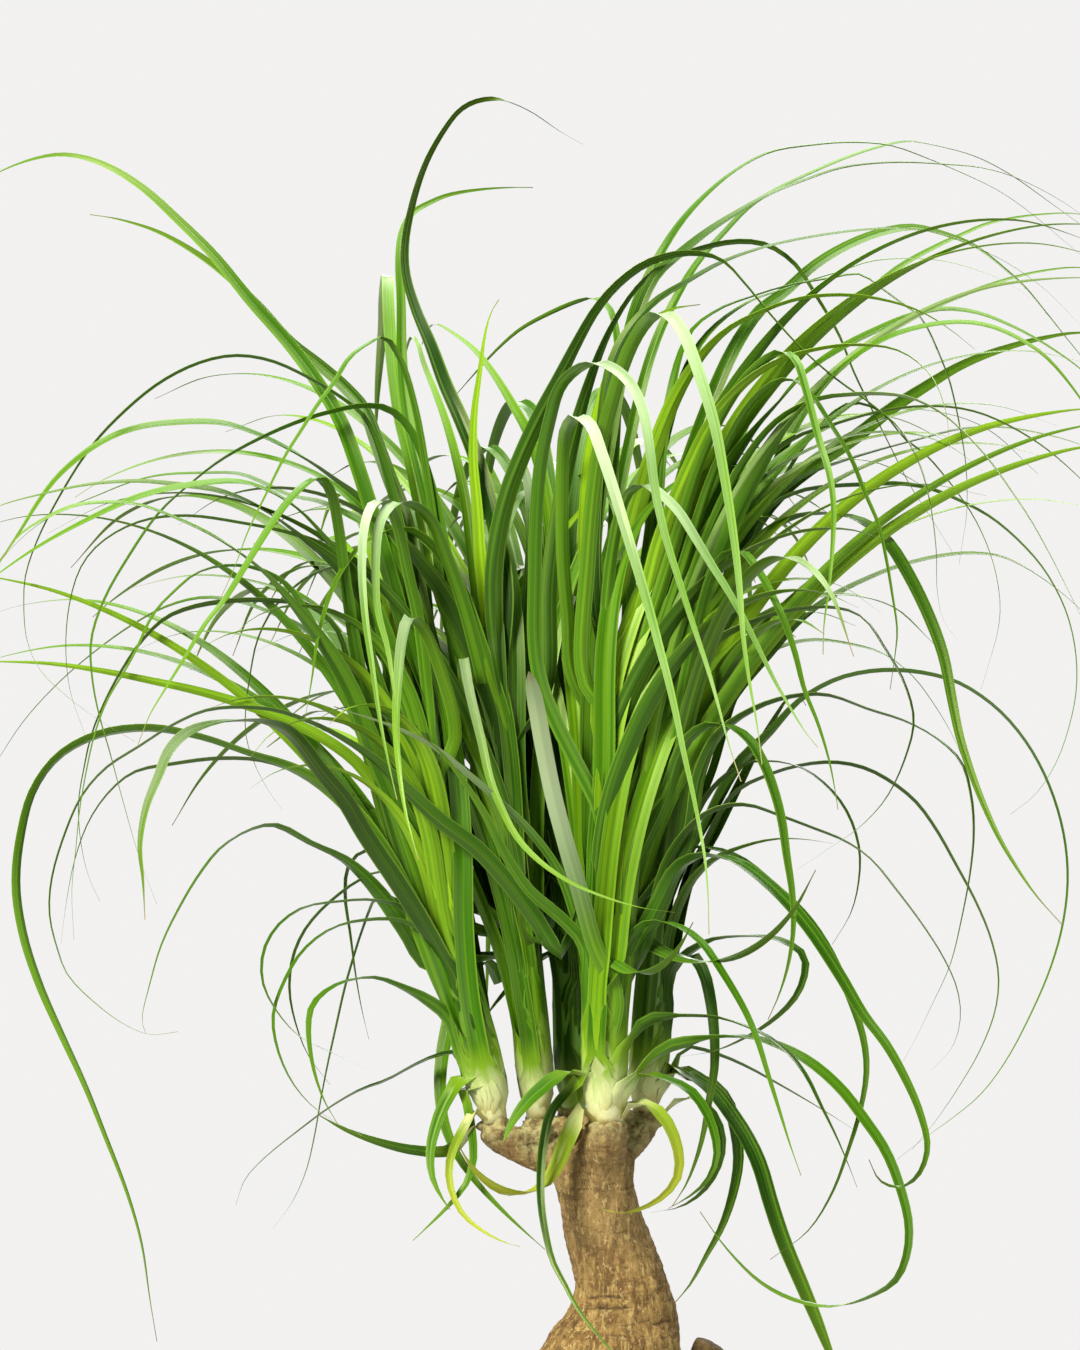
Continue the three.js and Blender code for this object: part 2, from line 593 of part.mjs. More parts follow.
// A point that lies within `clear` of its shoot is moved straight out to that distance.
function outside(point, axis, shoot) {
  let nearest = 0;
  for (let step = 1; step <= 20; step += 1) {
    const here = Math.abs(axis.getPointAt(step / 20).z - point.z);
    if (here < Math.abs(axis.getPointAt(nearest).z - point.z)) nearest = step / 20;
  }
  const centre = axis.getPointAt(nearest).setZ(point.z);
  const out = point.clone().sub(centre);
  const clear = shootRadius(shoot, nearest) + 2 * LEAF_THICKNESS;
  return nearest < 1 && out.length() < clear ? centre.add(out.setLength(clear)) : point;
}

// Where a leaf leaves its shoot: the foot of its middle line, and the way out from the shoot there.
function leafFoot(leaf, towards) {
  const shoot = SHOOTS[leaf.shoot];
  const axis = shootCurve(shoot);
  const centre = axis.getPointAt(leaf.up);
  const along = axis.getTangentAt(leaf.up);
  const out = towards.clone().sub(centre);
  out.addScaledVector(along, -out.dot(along)).normalize();
  const clear = shootRadius(shoot, leaf.up) + GAP + LEAF_THICKNESS / 2;
  return { point: centre.addScaledVector(out, clear), breadth: along.clone().cross(out).normalize() };
}

// A thin closed strip along the middle line, narrowing to the tip. It clasps its shoot at the foot. Further
// out its breadth lies level, square to the upright plane in which the leaf arches, turned by its twist.
function leafGeometry(leaf) {
  const shoot = SHOOTS[leaf.shoot];
  const axis = shootCurve(shoot);
  const points = leaf.route.map(([x, y], index) => {
    const fraction = (index + 1) / leaf.route.length;
    const point = place(x, y, shoot.forward + leaf.forward * fraction ** FORWARD_GROWTH);
    return outside(point, axis, shoot);
  });
  const foot = leafFoot(leaf, points[Math.floor(points.length / 2)]);
  const curve = new THREE.CatmullRomCurve3([foot.point, ...points]);
  const end = curve.getPointAt(0.8);
  const level = new THREE.Vector3(foot.point.y - end.y, end.x - foot.point.x, 0).normalize();
  if (level.dot(foot.breadth) < 0) foot.breadth.negate();
  const rings = [];
  for (let step = 0; step <= LEAF_STEPS; step += 1) {
    const fraction = step / LEAF_STEPS;
    const centre = curve.getPointAt(fraction);
    const along = curve.getTangentAt(fraction);
    const across = foot.breadth.clone().lerp(level, THREE.MathUtils.smoothstep(fraction, 0, CLASP));
    across.addScaledVector(along, -across.dot(along)).normalize();
    across.applyAxisAngle(along, THREE.MathUtils.degToRad(leaf.twist * Math.min(1, fraction * 3)));
    const outward = along.clone().cross(across);
    const spread = Math.min(1, 0.75 + fraction) * (1 - fraction ** 2.2);
    const half = Math.max(leaf.width * spread, LEAF_TIP_WIDTH) / 2;
    const thick = LEAF_THICKNESS / 2;
    rings.push([[-half, -thick], [half, -thick], [half, thick], [-half, thick]].map(([side, out]) => (
      centre.clone().addScaledVector(across, side).addScaledVector(outward, out))));
  }
  return loft(rings);
}

// ---- the plant in its pot ----
const plant = new THREE.Group();
plant.add(mesh('pot', turned(potProfile(), 40), potGlaze));
plant.add(mesh('potting_soil', toGeometry(soilSolid()), earth));
plant.add(mesh('trunk', toGeometry(trunkSolid()), bark));
for (const [name, shoot] of Object.entries(SHOOTS)) {
  const radiusAt = (fraction) => shootRadius(shoot, fraction);
  const geometry = stemGeometry(shootCurve(shoot), radiusAt, SHOOT_SIDES, SHOOT_STEPS);
  plant.add(mesh(`shoot_${name}`, geometry, sheath));
}
for (const leaf of LEAVES) plant.add(mesh(`leaf_${leaf.name}`, leafGeometry(leaf), blade));

export default plant;
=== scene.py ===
"""Potted ponytail palm: the looks of the plant, its soil and its pot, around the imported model.

Metres, +Z up. Leaves, shoots and trunk are laid out on a front sketch, as the model's are: one sketch
unit is SKETCH_UNIT, sketch x grows to the right and sketch y grows downwards.
"""

import json
import math
import random

import bpy
import numpy as np
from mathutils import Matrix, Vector, noise

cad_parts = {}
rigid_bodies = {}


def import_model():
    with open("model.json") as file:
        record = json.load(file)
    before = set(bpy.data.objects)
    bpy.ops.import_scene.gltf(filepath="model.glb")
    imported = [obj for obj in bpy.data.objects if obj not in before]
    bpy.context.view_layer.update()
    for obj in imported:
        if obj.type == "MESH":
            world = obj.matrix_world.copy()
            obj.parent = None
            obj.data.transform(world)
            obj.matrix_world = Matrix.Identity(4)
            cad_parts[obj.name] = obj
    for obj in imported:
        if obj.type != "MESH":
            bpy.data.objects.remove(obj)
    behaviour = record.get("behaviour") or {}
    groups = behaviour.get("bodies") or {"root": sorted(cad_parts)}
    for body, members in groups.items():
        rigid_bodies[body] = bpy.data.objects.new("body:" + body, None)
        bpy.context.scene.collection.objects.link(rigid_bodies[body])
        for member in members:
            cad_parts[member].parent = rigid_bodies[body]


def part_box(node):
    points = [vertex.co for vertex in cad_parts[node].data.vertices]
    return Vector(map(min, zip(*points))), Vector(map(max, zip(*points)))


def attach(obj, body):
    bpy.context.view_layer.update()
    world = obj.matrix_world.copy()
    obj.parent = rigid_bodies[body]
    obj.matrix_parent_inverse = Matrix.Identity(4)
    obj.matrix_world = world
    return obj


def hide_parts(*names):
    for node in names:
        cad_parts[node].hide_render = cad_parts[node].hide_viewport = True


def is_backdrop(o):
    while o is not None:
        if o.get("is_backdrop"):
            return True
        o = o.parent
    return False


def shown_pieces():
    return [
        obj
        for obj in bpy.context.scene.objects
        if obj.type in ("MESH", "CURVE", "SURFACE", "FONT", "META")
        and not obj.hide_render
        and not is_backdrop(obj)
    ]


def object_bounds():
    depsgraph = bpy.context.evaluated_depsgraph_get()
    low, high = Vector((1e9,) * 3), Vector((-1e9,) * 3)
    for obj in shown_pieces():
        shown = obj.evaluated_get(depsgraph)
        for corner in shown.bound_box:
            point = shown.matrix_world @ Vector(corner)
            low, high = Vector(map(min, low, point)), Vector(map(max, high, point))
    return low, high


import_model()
cad_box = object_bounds()

# ---- the front sketch and the eye that sees it ----
SKETCH_UNIT = 0.00055
SKETCH_AXIS = 600
SKETCH_FLOOR = 1790
EYE = Vector((-0.033, -2.5, 0.613))
PHOTO_HEIGHT = 1350

# ---- leaf sizes ----
MM = 0.001
GAP = 0.3 * MM
CAD_LEAF_THICKNESS = 0.9 * MM
RIB_THICKNESS = 0.55 * MM
EDGE_THICKNESS = 0.22 * MM
TIP_WIDTH = 0.5 * MM
LEAF_STEP = 7 * MM
COLUMNS = (-1, -0.55, -0.12, 0, 0.12, 0.55, 1)
CLASP = 0.16
FACING = 0.85
FACING_RIGHT = 0.5
UPRIGHT = 0.93
SIDEWAYS_TILT = 0.35
HANGING_TURN = 1.5
SHRINK = 0.88
LEAF_EDGE = 50
FOOT_RUN = 34 * MM
FOOT_LEAST = 3 * MM
FOOT_SUNK = 1.6 * MM
FOOT_OPENING = 16 * MM
FOOT_TURN = 1.2
FORWARD_GROWTH = 1.3
TAPER = 2.0
GROWN_TAPER = 2.7
OLD_TAPER = 1.6
BLUNT_ENDED = {"cut_front": 30, "low_right_plunge": 6, "top_fold_pale": 7}
SHEEN_SHRINK = 0.27
LEAST_ROWS = 16
ROW_CROWDING = 0.92
CHANNEL_DEPTH = 0.34
RIPPLE_LENGTH = 0.045
THINNING_HALF = 2.2 * MM
TONE_SPREAD = 0.12
RIPPLES = (0.1, 0.5)
AGE_AT_FOOT = 0.3
BLADE_LEVEL_GROWTH = 1.8

# Places along a leaf, as shares of its free length. TURNS and HANGS are shares of the way up to its
# highest point, and LEAST_APEX and the ones for the painted sheen (a painted highlight round the leaf's
# bend) are shares of its whole length, with its foot.
LEAST_APEX = 0.05
SHOWS_FACE_BY = 0.12
TURNS = (0.4, 0.9)
HANGS = (0.5, 1.15)
TWISTS = (0.25, 0.7)
AGES = (0.1, 0.55)
UPRIGHT_SHEEN = (0.35, 0.75)
SHEEN_BEFORE, SHEEN_AFTER, SHEEN_GONE = 0.05, 0.03, 0.24
SHEEN_LOSS = 0.95

# ---- shoots: how far forward each stands, its radius at the foot, and its route from foot to tip ----
SHOOTS = {
    "left": (10, 10.5, [(495, 1122), (480, 1050), (463, 980), (450, 900), (441, 820), (434, 740),
                        (430, 690)]),
    "middle": (-6, 10, [(539, 1120), (532, 1040), (526, 960), (520, 880), (512, 800), (503, 720),
                        (497, 660)]),
    "front": (22, 12, [(606, 1124), (604, 1040), (602, 950), (601, 860), (602, 780), (604, 700),
                       (607, 640)]),
    "right": (-16, 10.5, [(645, 1112), (650, 1040), (653, 970), (658, 900), (664, 820), (671, 750),
                          (677, 690)]),
    "back": (-38, 10, [(574, 1110), (571, 1020), (567, 930), (563, 850), (560, 770), (558, 700),
                       (556, 640)]),
}

# ---- leaves: name, shoot, tone, how far up the shoot it starts, width in millimetres, how far forward
# its tip lies in millimetres, twist in degrees, and its route on the sketch from the shoot to the tip ----
CAD_LEAVES = [
    ("left_sweep", "left", "green", 0.95, 10.5, -95, -60,
     [(385, 560), (360, 475), (340, 420), (318, 383), (290, 345), (250, 300), (215, 257), (180, 222),
      (140, 186), (100, 163), (65, 155), (35, 159), (0, 172), (-30, 190)]),
    ("left_blade_high", "left", "dark", 0.84, 11, -230, 0,
     [(440, 700), (420, 600), (405, 520), (390, 480), (378, 447), (365, 412), (345, 388), (320, 366),
      (290, 342), (260, 308), (230, 279), (200, 256), (160, 233), (120, 220), (90, 215)]),
    ("left_bow_thin", "middle", "dark", 0.75, 8, 45, 0,
     [(425, 700), (405, 560), (385, 470), (365, 420), (345, 402), (310, 380), (270, 362), (235, 357),
      (200, 364), (160, 384), (120, 417), (90, 450), (60, 497), (38, 540), (26, 575), (24, 600),
      (27, 640), (40, 670), (65, 695), (97, 719), (135, 742)]),
    ("left_arch_broad", "back", "green", 0.8, 13, 95, -45,
     [(445, 720), (420, 610), (390, 540), (360, 502), (335, 482), (310, 463), (280, 446), (250, 433),
      (220, 424), (170, 424), (140, 428), (115, 436), (90, 450), (60, 475), (40, 500), (20, 532),
      (0, 562), (-25, 600)]),
    ("left_drape_long", "middle", "green", 0.8, 10, 75, 0,
     [(465, 700), (445, 560), (425, 470), (405, 425), (385, 410), (360, 408), (330, 414), (300, 423),
      (260, 440), (220, 462), (190, 485), (160, 513), (130, 556), (105, 600), (92, 640), (93, 680),
      (100, 717), (110, 752), (120, 790), (140, 860), (157, 905)]),
    ("left_arch_3", "left", "dark", 0.73, 11, 55, -45,
     [(435, 780), (405, 690), (370, 610), (335, 565), (300, 538), (275, 518), (250, 504), (215, 491),
      (180, 486), (140, 482), (90, 485), (45, 494), (0, 506), (-30, 520)]),
    ("left_blade_bright", "left", "green", 0.5, 13, 120, -40,
     [(418, 850), (395, 800), (372, 745), (350, 690), (330, 655), (308, 625), (285, 597), (255, 566),
      (220, 541), (180, 521), (140, 506), (110, 503), (75, 506), (45, 519), (20, 535), (0, 560)]),
    ("left_fold_broad", "middle", "green", 0.4, 10.5, 180, 0,
     [(425, 860), (395, 790), (370, 720), (355, 650), (345, 585), (338, 530), (330, 492), (318, 479),
      (300, 490), (280, 513), (262, 540), (245, 568), (225, 600), (205, 625), (185, 658), (165, 690),
      (150, 715), (138, 745)]),
    ("left_bow_broad", "left", "dark", 0.3, 11, 25, 0,
     [(395, 850), (370, 760), (350, 680), (335, 630), (310, 608), (280, 603), (240, 602), (195, 608),
      (165, 620), (140, 645), (120, 675), (105, 703), (92, 735), (84, 770), (79, 800), (80, 835),
      (88, 875), (100, 902)]),
    ("left_longest", "left", "green", 0.15, 12, 75, 60,
     [(420, 930), (390, 865), (355, 815), (320, 785), (285, 767), (250, 756), (200, 739), (150, 730),
      (100, 736), (60, 757), (35, 790), (22, 835), (17, 885), (24, 935), (40, 985), (62, 1035),
      (85, 1085), (105, 1135), (128, 1195), (142, 1245), (150, 1300), (157, 1342)]),
    ("left_crossing", "front", "dark", 0.5, 11, 60, 0,
     [(562, 955), (532, 915), (505, 880), (475, 848), (440, 822), (405, 790), (375, 762), (345, 742),
      (310, 724), (270, 711), (210, 711), (175, 725), (140, 747), (105, 770), (82, 797), (65, 835),
      (52, 880), (50, 915), (58, 950), (68, 975), (95, 1003), (125, 1025), (150, 1035), (178, 1032)]),
    ("left_blade_low", "left", "dark", 0.35, 12, 280, 0,
     [(440, 955), (405, 895), (365, 835), (345, 802), (320, 772), (298, 742), (280, 728), (255, 722),
      (220, 723), (190, 732), (170, 750), (158, 778), (146, 808), (140, 845), (143, 880), (145, 920)]),
    ("left_arch_low", "middle", "green", 0.35, 12, 75, 0,
     [(430, 965), (405, 930), (375, 890), (345, 862), (310, 845), (275, 827), (250, 831), (222, 848),
      (200, 875), (180, 908), (162, 945), (150, 985), (142, 1020), (146, 1034)]),
    ("left_hook_pale", "middle", "pale", 0.6, 10, 25, 0,
     [(390, 750), (385, 660), (375, 590), (355, 567), (335, 568), (310, 577), (290, 592), (272, 612),
      (258, 640), (251, 672), (246, 710), (246, 735), (253, 760), (266, 787), (282, 810)]),
    ("left_fold_pale", "middle", "pale", 0.38, 10, 0, 0,
     [(445, 915), (425, 880), (405, 860), (385, 851), (365, 852), (350, 865), (346, 895), (351, 935),
      (356, 975), (362, 1010), (369, 1040)]),
    ("left_hang", "middle", "green", 0.36, 10, -25, 0,
     [(450, 960), (420, 925), (395, 903), (378, 898), (365, 925), (355, 955), (345, 990), (337, 1025),
      (328, 1065), (321, 1100), (315, 1135), (306, 1172), (292, 1203), (273, 1229)]),
    ("left_low_dark", "left", "dark", 0.08, 9, -40, 0,
     [(475, 1062), (460, 1055), (440, 1056), (415, 1066), (385, 1082), (360, 1091), (330, 1108),
      (300, 1130), (265, 1158), (245, 1180), (236, 1205)]),
    ("front_left_fold", "back", "green", 0.5, 13, 62, 0,
     [(502, 985), (490, 964), (472, 968), (458, 995), (447, 1035), (441, 1075), (443, 1115),
      (455, 1150), (475, 1180), (500, 1208), (525, 1232), (545, 1250)]),
    ("collar_yellow_left", "left", "yellow", 0.03, 6, 35, 0,
     [(457, 1140), (449, 1165), (451, 1190), (463, 1215), (485, 1233), (505, 1243), (520, 1247)]),
    ("collar_yellow_front", "front", "yellow", 0.03, 13, 50, 45,
     [(568, 1142), (557, 1168), (545, 1186), (522, 1195), (503, 1192), (485, 1181), (470, 1165),
      (460, 1148)]),
    ("trunk_drape", "front", "dark", 0.11, 6, 80, 20,
     [(560, 1100), (550, 1115), (544, 1140), (541, 1170), (541, 1200), (545, 1230), (553, 1262),
      (565, 1285), (577, 1308), (592, 1328), (612, 1352), (630, 1372)]),
    ("top_tall_dark", "middle", "dark", 0.95, 11, -190, 60,
     [(505, 590), (490, 505), (475, 455), (460, 418), (445, 385), (430, 345), (415, 310), (405, 275),
      (404, 245), (409, 215), (417, 185), (428, 157), (445, 128), (460, 110), (478, 101), (500, 100),
      (530, 112), (560, 132), (583, 145)]),
    ("top_tall_bright", "middle", "green", 0.9, 9, -180, 0,
     [(455, 610), (437, 540), (425, 490), (415, 450), (407, 410), (402, 360), (401, 300), (399, 260),
      (402, 233), (412, 214), (430, 203), (450, 195), (480, 190), (510, 188), (533, 188)]),
    ("top_fold_pale", "middle", "white", 0.85, 12, -215, 0,
     [(445, 610), (425, 530), (410, 460), (400, 420), (394, 380), (390, 340), (388, 300), (387, 276),
      (384, 300), (383, 325), (380, 360), (377, 400), (376, 440)]),
    ("sweep_right_1", "middle", "dark", 0.9, 12, 70, 0,
     [(500, 680), (494, 590), (498, 540), (508, 495), (523, 455), (540, 418), (560, 380), (578, 345),
      (597, 312), (620, 285), (650, 264), (690, 255), (722, 262), (745, 285), (770, 315), (800, 348),
      (835, 379), (870, 404), (900, 430), (920, 467), (930, 505), (936, 550), (937, 590), (943, 620),
      (957, 640)]),
    ("sweep_right_2", "middle", "dark", 0.8, 11, 20, 0,
     [(545, 700), (550, 580), (565, 480), (585, 400), (612, 330), (640, 287), (670, 262), (705, 249),
      (740, 243), (768, 247), (795, 266), (815, 296), (838, 335), (853, 372), (870, 407), (890, 447),
      (910, 486), (932, 520), (952, 552)]),
    ("sweep_high_1", "back", "green", 0.9, 8, -80, 0,
     [(590, 560), (605, 450), (620, 380), (635, 310), (655, 265), (680, 225), (705, 197), (735, 172),
      (770, 153), (810, 146), (850, 143), (890, 146), (925, 158), (970, 177), (1000, 192), (1030, 213),
      (1060, 238), (1100, 272)]),
    ("blade_right_high", "front", "green", 0.85, 11, -90, 35,
     [(660, 580), (685, 475), (708, 410), (722, 375), (740, 340), (760, 312), (785, 293), (815, 266),
      (850, 245), (885, 232), (915, 228), (945, 235), (975, 247), (1005, 270), (1025, 288),
      (1045, 312), (1065, 337), (1085, 362), (1110, 400)]),
    ("fold_bright", "front", "pale", 0.85, 12, 300, 0,
     [(585, 680), (588, 560), (598, 460), (610, 410), (622, 370), (636, 338), (652, 318), (668, 316),
      (682, 332), (693, 358), (704, 390), (715, 428), (723, 470), (730, 512), (736, 555), (740, 595),
      (743, 635), (749, 680), (757, 725), (762, 765)]),
    ("fold_pale_arc", "front", "pale", 0.63, 11, 320, 0,
     [(540, 680), (535, 570), (540, 470), (550, 420), (560, 388), (578, 370), (598, 364), (616, 371),
      (632, 387), (643, 412), (649, 445), (655, 490), (664, 532), (678, 578), (694, 628), (708, 670),
      (718, 705), (728, 742), (741, 782)]),
    ("fold_white", "right", "white", 0.7, 13, 305, 0,
     [(574, 680), (568, 620), (563, 560), (562, 500), (563, 455), (566, 430), (576, 418), (590, 425),
      (602, 455), (615, 495), (630, 545), (642, 585), (652, 620), (660, 650), (668, 680), (676, 715),
      (683, 750), (692, 790), (700, 830), (705, 860), (708, 895), (709, 935)]),
    ("arch_right_1", "front", "green", 0.7, 13, 15, 50,
     [(665, 620), (690, 545), (715, 490), (745, 445), (775, 408), (805, 375), (840, 350), (875, 332),
      (910, 317), (940, 310), (975, 313), (1010, 326), (1050, 348), (1090, 378), (1115, 410)]),
    ("arch_right_3", "right", "green", 0.9, 13, -20, 50,
     [(710, 640), (735, 570), (757, 525), (785, 490), (820, 462), (855, 438), (890, 410), (925, 387),
      (960, 366), (1000, 350), (1040, 339), (1080, 333), (1115, 338)]),
    ("arch_right_4", "front", "pale", 0.65, 11, 90, 0,
     [(665, 680), (700, 560), (740, 470), (780, 420), (820, 400), (850, 396), (880, 395), (910, 399),
      (940, 413), (965, 434), (990, 462), (1010, 490), (1030, 520), (1048, 552), (1065, 585),
      (1080, 615), (1095, 650)]),
    ("hang_right_1", "front", "green", 0.75, 9, 170, 0,
     [(670, 560), (710, 440), (750, 375), (780, 353), (795, 360), (804, 385), (812, 415), (820, 445),
      (828, 470), (833, 500), (833, 535), (831, 565), (828, 595), (824, 625), (823, 655)]),
    ("bow_right_1", "right", "green", 0.69, 8, 30, 0,
     [(705, 720), (740, 600), (770, 510), (800, 493), (830, 488), (865, 486), (900, 485), (930, 490),
      (960, 502), (990, 518), (1020, 543), (1045, 572), (1065, 610), (1075, 650), (1076, 690),
      (1068, 730), (1055, 765), (1035, 795), (1010, 815)]),
    ("arch_right_big", "right", "dark", 0.76, 12, 115, 50,
     [(685, 760), (708, 660), (730, 585), (755, 545), (785, 523), (815, 515), (845, 517), (868, 526),
      (888, 544), (908, 575), (928, 615), (943, 655), (952, 700), (960, 738), (972, 775), (985, 808),
      (1000, 840), (1018, 870), (1037, 897), (1062, 925)]),
    ("bow_right_2", "front", "dark", 0.5, 9, 55, 0,
     [(668, 790), (685, 700), (705, 652), (745, 627), (790, 612), (835, 609), (862, 618), (885, 650),
      (903, 682), (913, 720), (905, 757), (886, 798), (860, 827), (830, 848), (797, 870)]),
    ("bow_right_3", "right", "green", 0.5, 10, 35, 0,
     [(705, 830), (740, 765), (770, 735), (800, 703), (835, 682), (865, 674), (895, 672), (925, 675),
      (955, 683), (980, 697), (1005, 718), (1030, 750), (1050, 790), (1063, 835), (1067, 880),
      (1062, 925), (1050, 968), (1030, 1015), (1005, 1062), (980, 1095), (950, 1120), (925, 1138),
      (897, 1160)]),
    ("bow_right_4", "front", "dark", 0.4, 9, 65, 0,
     [(685, 850), (700, 775), (720, 735), (760, 708), (800, 697), (830, 697), (870, 711), (905, 722),
      (935, 738), (960, 762), (970, 795), (973, 830), (970, 870), (961, 920), (950, 965), (932, 1005),
      (915, 1040), (903, 1062)]),
    ("low_right_big", "front", "green", 0.3, 13, 150, 0,
     [(660, 905), (680, 868), (705, 857), (735, 863), (770, 888), (805, 926), (838, 975), (862, 1015),
      (885, 1045), (905, 1080), (920, 1115), (927, 1148), (918, 1175), (900, 1187), (880, 1181),
      (869, 1160)]),
    ("low_right_arc_1", "front", "green", 0.08, 9.5, 85, 0,
     [(665, 1050), (690, 1043), (720, 1038), (750, 1039), (780, 1048), (810, 1064), (840, 1090),
      (862, 1118), (885, 1152), (900, 1190), (908, 1225), (906, 1255), (895, 1280), (870, 1296),
      (835, 1306), (795, 1300), (760, 1282), (725, 1247), (700, 1212)]),
    ("low_right_plunge", "right", "dark", 0.06, 12, 95, 0,
     [(665, 1068), (690, 1076), (712, 1092), (730, 1115), (745, 1138), (758, 1165), (770, 1205),
      (783, 1243), (800, 1283), (815, 1318), (828, 1350), (842, 1385)]),
    ("collar_yellow_right", "front", "yellow", 0.03, 9, 10, 0,
     [(645, 1104), (660, 1114), (672, 1133), (679, 1160), (676, 1180), (662, 1197), (643, 1208),
      (620, 1213), (600, 1208)]),
    ("back_arch_1", "back", "green", 0.93, 11, -270, 0,
     [(552, 540), (545, 460), (532, 412), (512, 405), (495, 440), (484, 500), (477, 570), (474, 640)]),
    ("back_arch_2", "back", "green", 0.8, 11, -290, 0,
     [(566, 580), (575, 480), (588, 415), (606, 390), (625, 410), (640, 470), (650, 550), (655, 640)]),
    ("back_arch_3", "back", "green", 0.7, 10, -240, 0,
     [(552, 640), (535, 540), (512, 475), (488, 448), (465, 475), (450, 540), (442, 620), (440, 700)]),
    ("back_arch_4", "right", "green", 0.8, 10, -230, 0,
     [(684, 640), (700, 540), (716, 480), (732, 470), (744, 520), (750, 600), (752, 680)]),
    ("back_arch_5", "left", "green", 0.77, 10, -205, 0,
     [(428, 640), (420, 560), (406, 510), (386, 510), (371, 560), (361, 630), (353, 700)]),
    ("back_arch_6", "back", "green", 0.5, 11, -200, 0,
     [(566, 740), (574, 620), (588, 540), (606, 515), (622, 545), (632, 625), (638, 720), (642, 830)]),
    ("back_arch_7", "back", "green", 0.25, 11, -180, 0,
     [(558, 880), (548, 800), (534, 755), (515, 752), (500, 800), (492, 870), (488, 950), (486, 1030)]),
]

